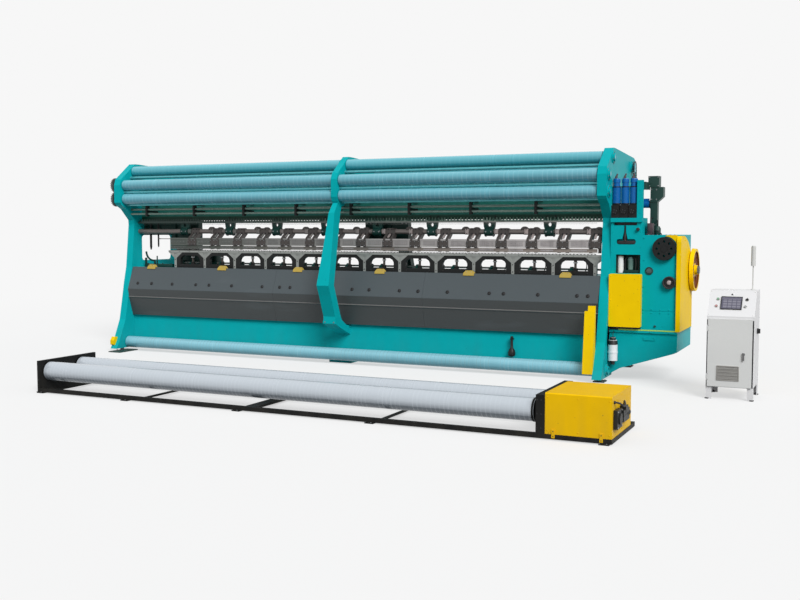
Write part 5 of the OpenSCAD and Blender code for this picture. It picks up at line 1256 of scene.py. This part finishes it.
# ---------------------------------------------------------------- control cabinet
# A sheet steel cabinet on four angle legs in pale grey powder coat, with a sloping console on top.
# The hinged door closes on a rubber seal and has a louvred vent.
cabinet_grey = powder("cabinet_powder", (0.76, 0.76, 0.77), gloss=0.46, grain=0.22)
door_grey = powder("door_powder", (0.71, 0.72, 0.71), gloss=0.42, grain=0.22)
dress(cabinet_grey, "cabinet_shell")
dress(door_grey, "cabinet_door")
handle_metal = zinc_finish("handle_metal", (0.16, 0.16, 0.165, 1), 0.34, 0.6)
dress(handle_metal, "door_handle")
dress(black_plastic, "selector_switch", "main_switch")
seal_rubber = powder("seal_rubber", (0.30, 0.30, 0.29), gloss=0.6, grain=0.2)
seal = [cut_block((4.448, -0.8003, z), (4.844, -0.7991, z + 0.006), 0.0003, 1) for z in (0.130, 0.768)]
seal += [cut_block((x, -0.8003, 0.130), (x + 0.006, -0.7991, 0.774), 0.0003, 1) for x in (4.446, 4.840)]
fitted(welded(*seal), "door_seal", "machine", seal_rubber)
lock_spot = (4.772, -0.8265, 0.412)
lock_ring = turned([(0, 0.0095), (0, 0.0125), (0.002, 0.0125), (0.003, 0.0115), (0.003, 0.0095)],
                   lock_spot, (0, -1, 0), 24, True)
lock_core = turned([(0, 0.0093), (0.002, 0.0093), (0.002, 0.004), (0.0005, 0.0035)],
                   lock_spot, (0, -1, 0), 24)
fitted(welded(lock_ring, lock_core), "handle_lock", "handle", plated_screw)

# A moulded louvre grille snaps over the door's vent.
grille_grey = powder("grille_moulding", (0.33, 0.32, 0.30), gloss=0.55, grain=0.2)
door_face = -0.8183
slats = [cut_block((4.532, door_face - 0.004, 0.191 + 0.0105 * i),
                   (4.731, door_face + 0.001, 0.1975 + 0.0105 * i), 0.001, 1)
         for i in range(13)]
rim = [cut_block((4.528, door_face - 0.006, z), (4.735, door_face + 0.0015, z + 0.008), 0.0015)
       for z in (0.186, 0.321)]
rim += [cut_block((x, door_face - 0.006, 0.190), (x + 0.008, door_face + 0.0015, 0.326), 0.0015)
        for x in (4.528, 4.727)]
fitted(welded(*slats, *rim), "door_grille", "door", grille_grey)

# The console carries the screen in a black bezel, three buttons and a selector in metal rings.
rise, run = 0.237, 0.180
slope_turn = Matrix.Translation((4.430, -0.800, 0.800)) @ Matrix.Rotation(radians(90) - atan2(run,
                                                                                              rise), 4, "X")


def on_console(piece):
    piece.data.transform(slope_turn)
    return piece


bezel = [cut_block((0.112, 0.076, 0.0), (0.308, 0.084, 0.0105)),
         cut_block((0.112, 0.214, 0.0), (0.308, 0.222, 0.0105)),
         cut_block((0.112, 0.082, 0.0), (0.120, 0.216, 0.0105)),
         cut_block((0.300, 0.082, 0.0), (0.308, 0.216, 0.0105))]
fitted(on_console(welded(*bezel)), "screen_bezel", "machine", black_plastic)
glass = Finish("screen_glass", {"Roughness": 0.12, "Specular IOR Level": 0.6, "Coat Weight": 0.5,
                                "Emission Strength": 0.08})
aside = glass.along("X") - 4.430
upward = (glass.along("Z") - 0.800) * (1 / (rise / (rise ** 2 + run ** 2) ** 0.5))
head_bar = glass.step(upward, 0.196, 0.001)
tiles = glass.node("Math", {"operation": "PINGPONG"}, {0: aside - 0.132, 1: 0.021})
rows = glass.node("Math", {"operation": "PINGPONG"}, {0: upward - 0.100, 1: 0.0145})
inside = glass.step(tiles, 0.003, 0.001) * glass.step(rows, 0.0035, 0.001) * (1 - head_bar)
inside = inside * glass.step(aside, 0.128, 0.001) * (1 - glass.step(aside, 0.292, 0.001))
inside = inside * glass.step(upward, 0.093, 0.001)
ground = glass.mixed(head_bar, (0.052, 0.050, 0.088, 1), (0.10, 0.095, 0.14, 1))
panel = glass.mixed(inside, ground, (0.17, 0.165, 0.21, 1))
glass.lay(colour=panel, glow=panel, roughness=0.1 + 0.08 * glass.mottle(30, 4))
dress(glass, "operator_screen")


def moulded_button(name, colour):
    cap = Finish(name, {"Specular IOR Level": 0.5, "Coat Weight": 0.2})
    haze = cap.mottle(180, 4)
    return cap.lay(colour=cap.mixed(haze, tint(colour, 0.85), tint(colour, 1.12)),
                   roughness=0.3 + 0.15 * haze, normal=cap.bumped(haze, 0.08, 0.0004))


dress(moulded_button("start_green", (0.20, 0.36, 0.24)), "push_button_1")
dress(moulded_button("stop_red", (0.44, 0.22, 0.21)), "push_button_2")
dress(zinc_finish("button_metal", (0.42, 0.43, 0.44, 1), 0.3, 0.6), "push_button_3")
rings = []
for across, up in ((0.084, 0.193), (0.074, 0.113), (0.340, 0.113)):
    rings.append(turned([(0, 0.0114), (0, 0.0165), (0.003, 0.0165), (0.005, 0.0150), (0.005, 0.0114)],
                        (across, up, 0), (0, 0, 1), 36, True))
fitted(on_console(welded(*rings)), "button_rings", "machine", plated_screw)
selector_ring = turned([(0, 0.0134), (0, 0.0175), (0.003, 0.0175), (0.0045, 0.0160), (0.0045, 0.0134)],
                       (0.350, 0.193, 0), (0, 0, 1), 36, True)
fitted(on_console(selector_ring), "selector_ring", "machine", plated_screw)
lamp_dome = turned([(0, 0.0085), (0.003, 0.0085), (0.007, 0.0070), (0.010, 0.0035)], (0.210, 0.250, 0.0001),
                   (0, 0, 1), 24)
fitted(on_console(lamp_dome), "console_lamp", "machine", black_plastic, 50)
pointer = cut_block((0.3492, 0.1945, 0.0178), (0.3508, 0.2030, 0.0186), 0.0003, 1)
fitted(on_console(pointer), "selector_pointer", "selector", white_plastic)
screwed("console_screws", [tuple(slope_turn @ Vector((a, u, 0.0001))) for a in (0.016, 0.416)
                           for u in (0.016, 0.282)], slope_turn.to_3x3() @ Vector((0, 0, 1)), 0.005,
        finish=plated_screw, kind=dome_screw)
screwed("cabinet_side_screws", [(4.8621, y, z) for y in (-0.785, -0.365) for z in (0.15, 0.45, 0.765)],
        (1, 0, 0), 0.005, finish=plated_screw, kind=dome_screw)
feet = [turned([(0, 0.020), (0.004, 0.022), (0.010, 0.022), (0.012, 0.010), (0.020, 0.009)],
               (x, y, 0.0), (0, 0, 1), 24) for x in (4.443, 4.849) for y in (-0.787, -0.363)]
fitted(welded(*feet), "cabinet_feet", "machine", black_plastic)

# The beacon is a moulded dome on a threaded stem.
beacon_grey = moulded_button("beacon_moulding", (0.60, 0.60, 0.58))
dress(beacon_grey, "beacon")
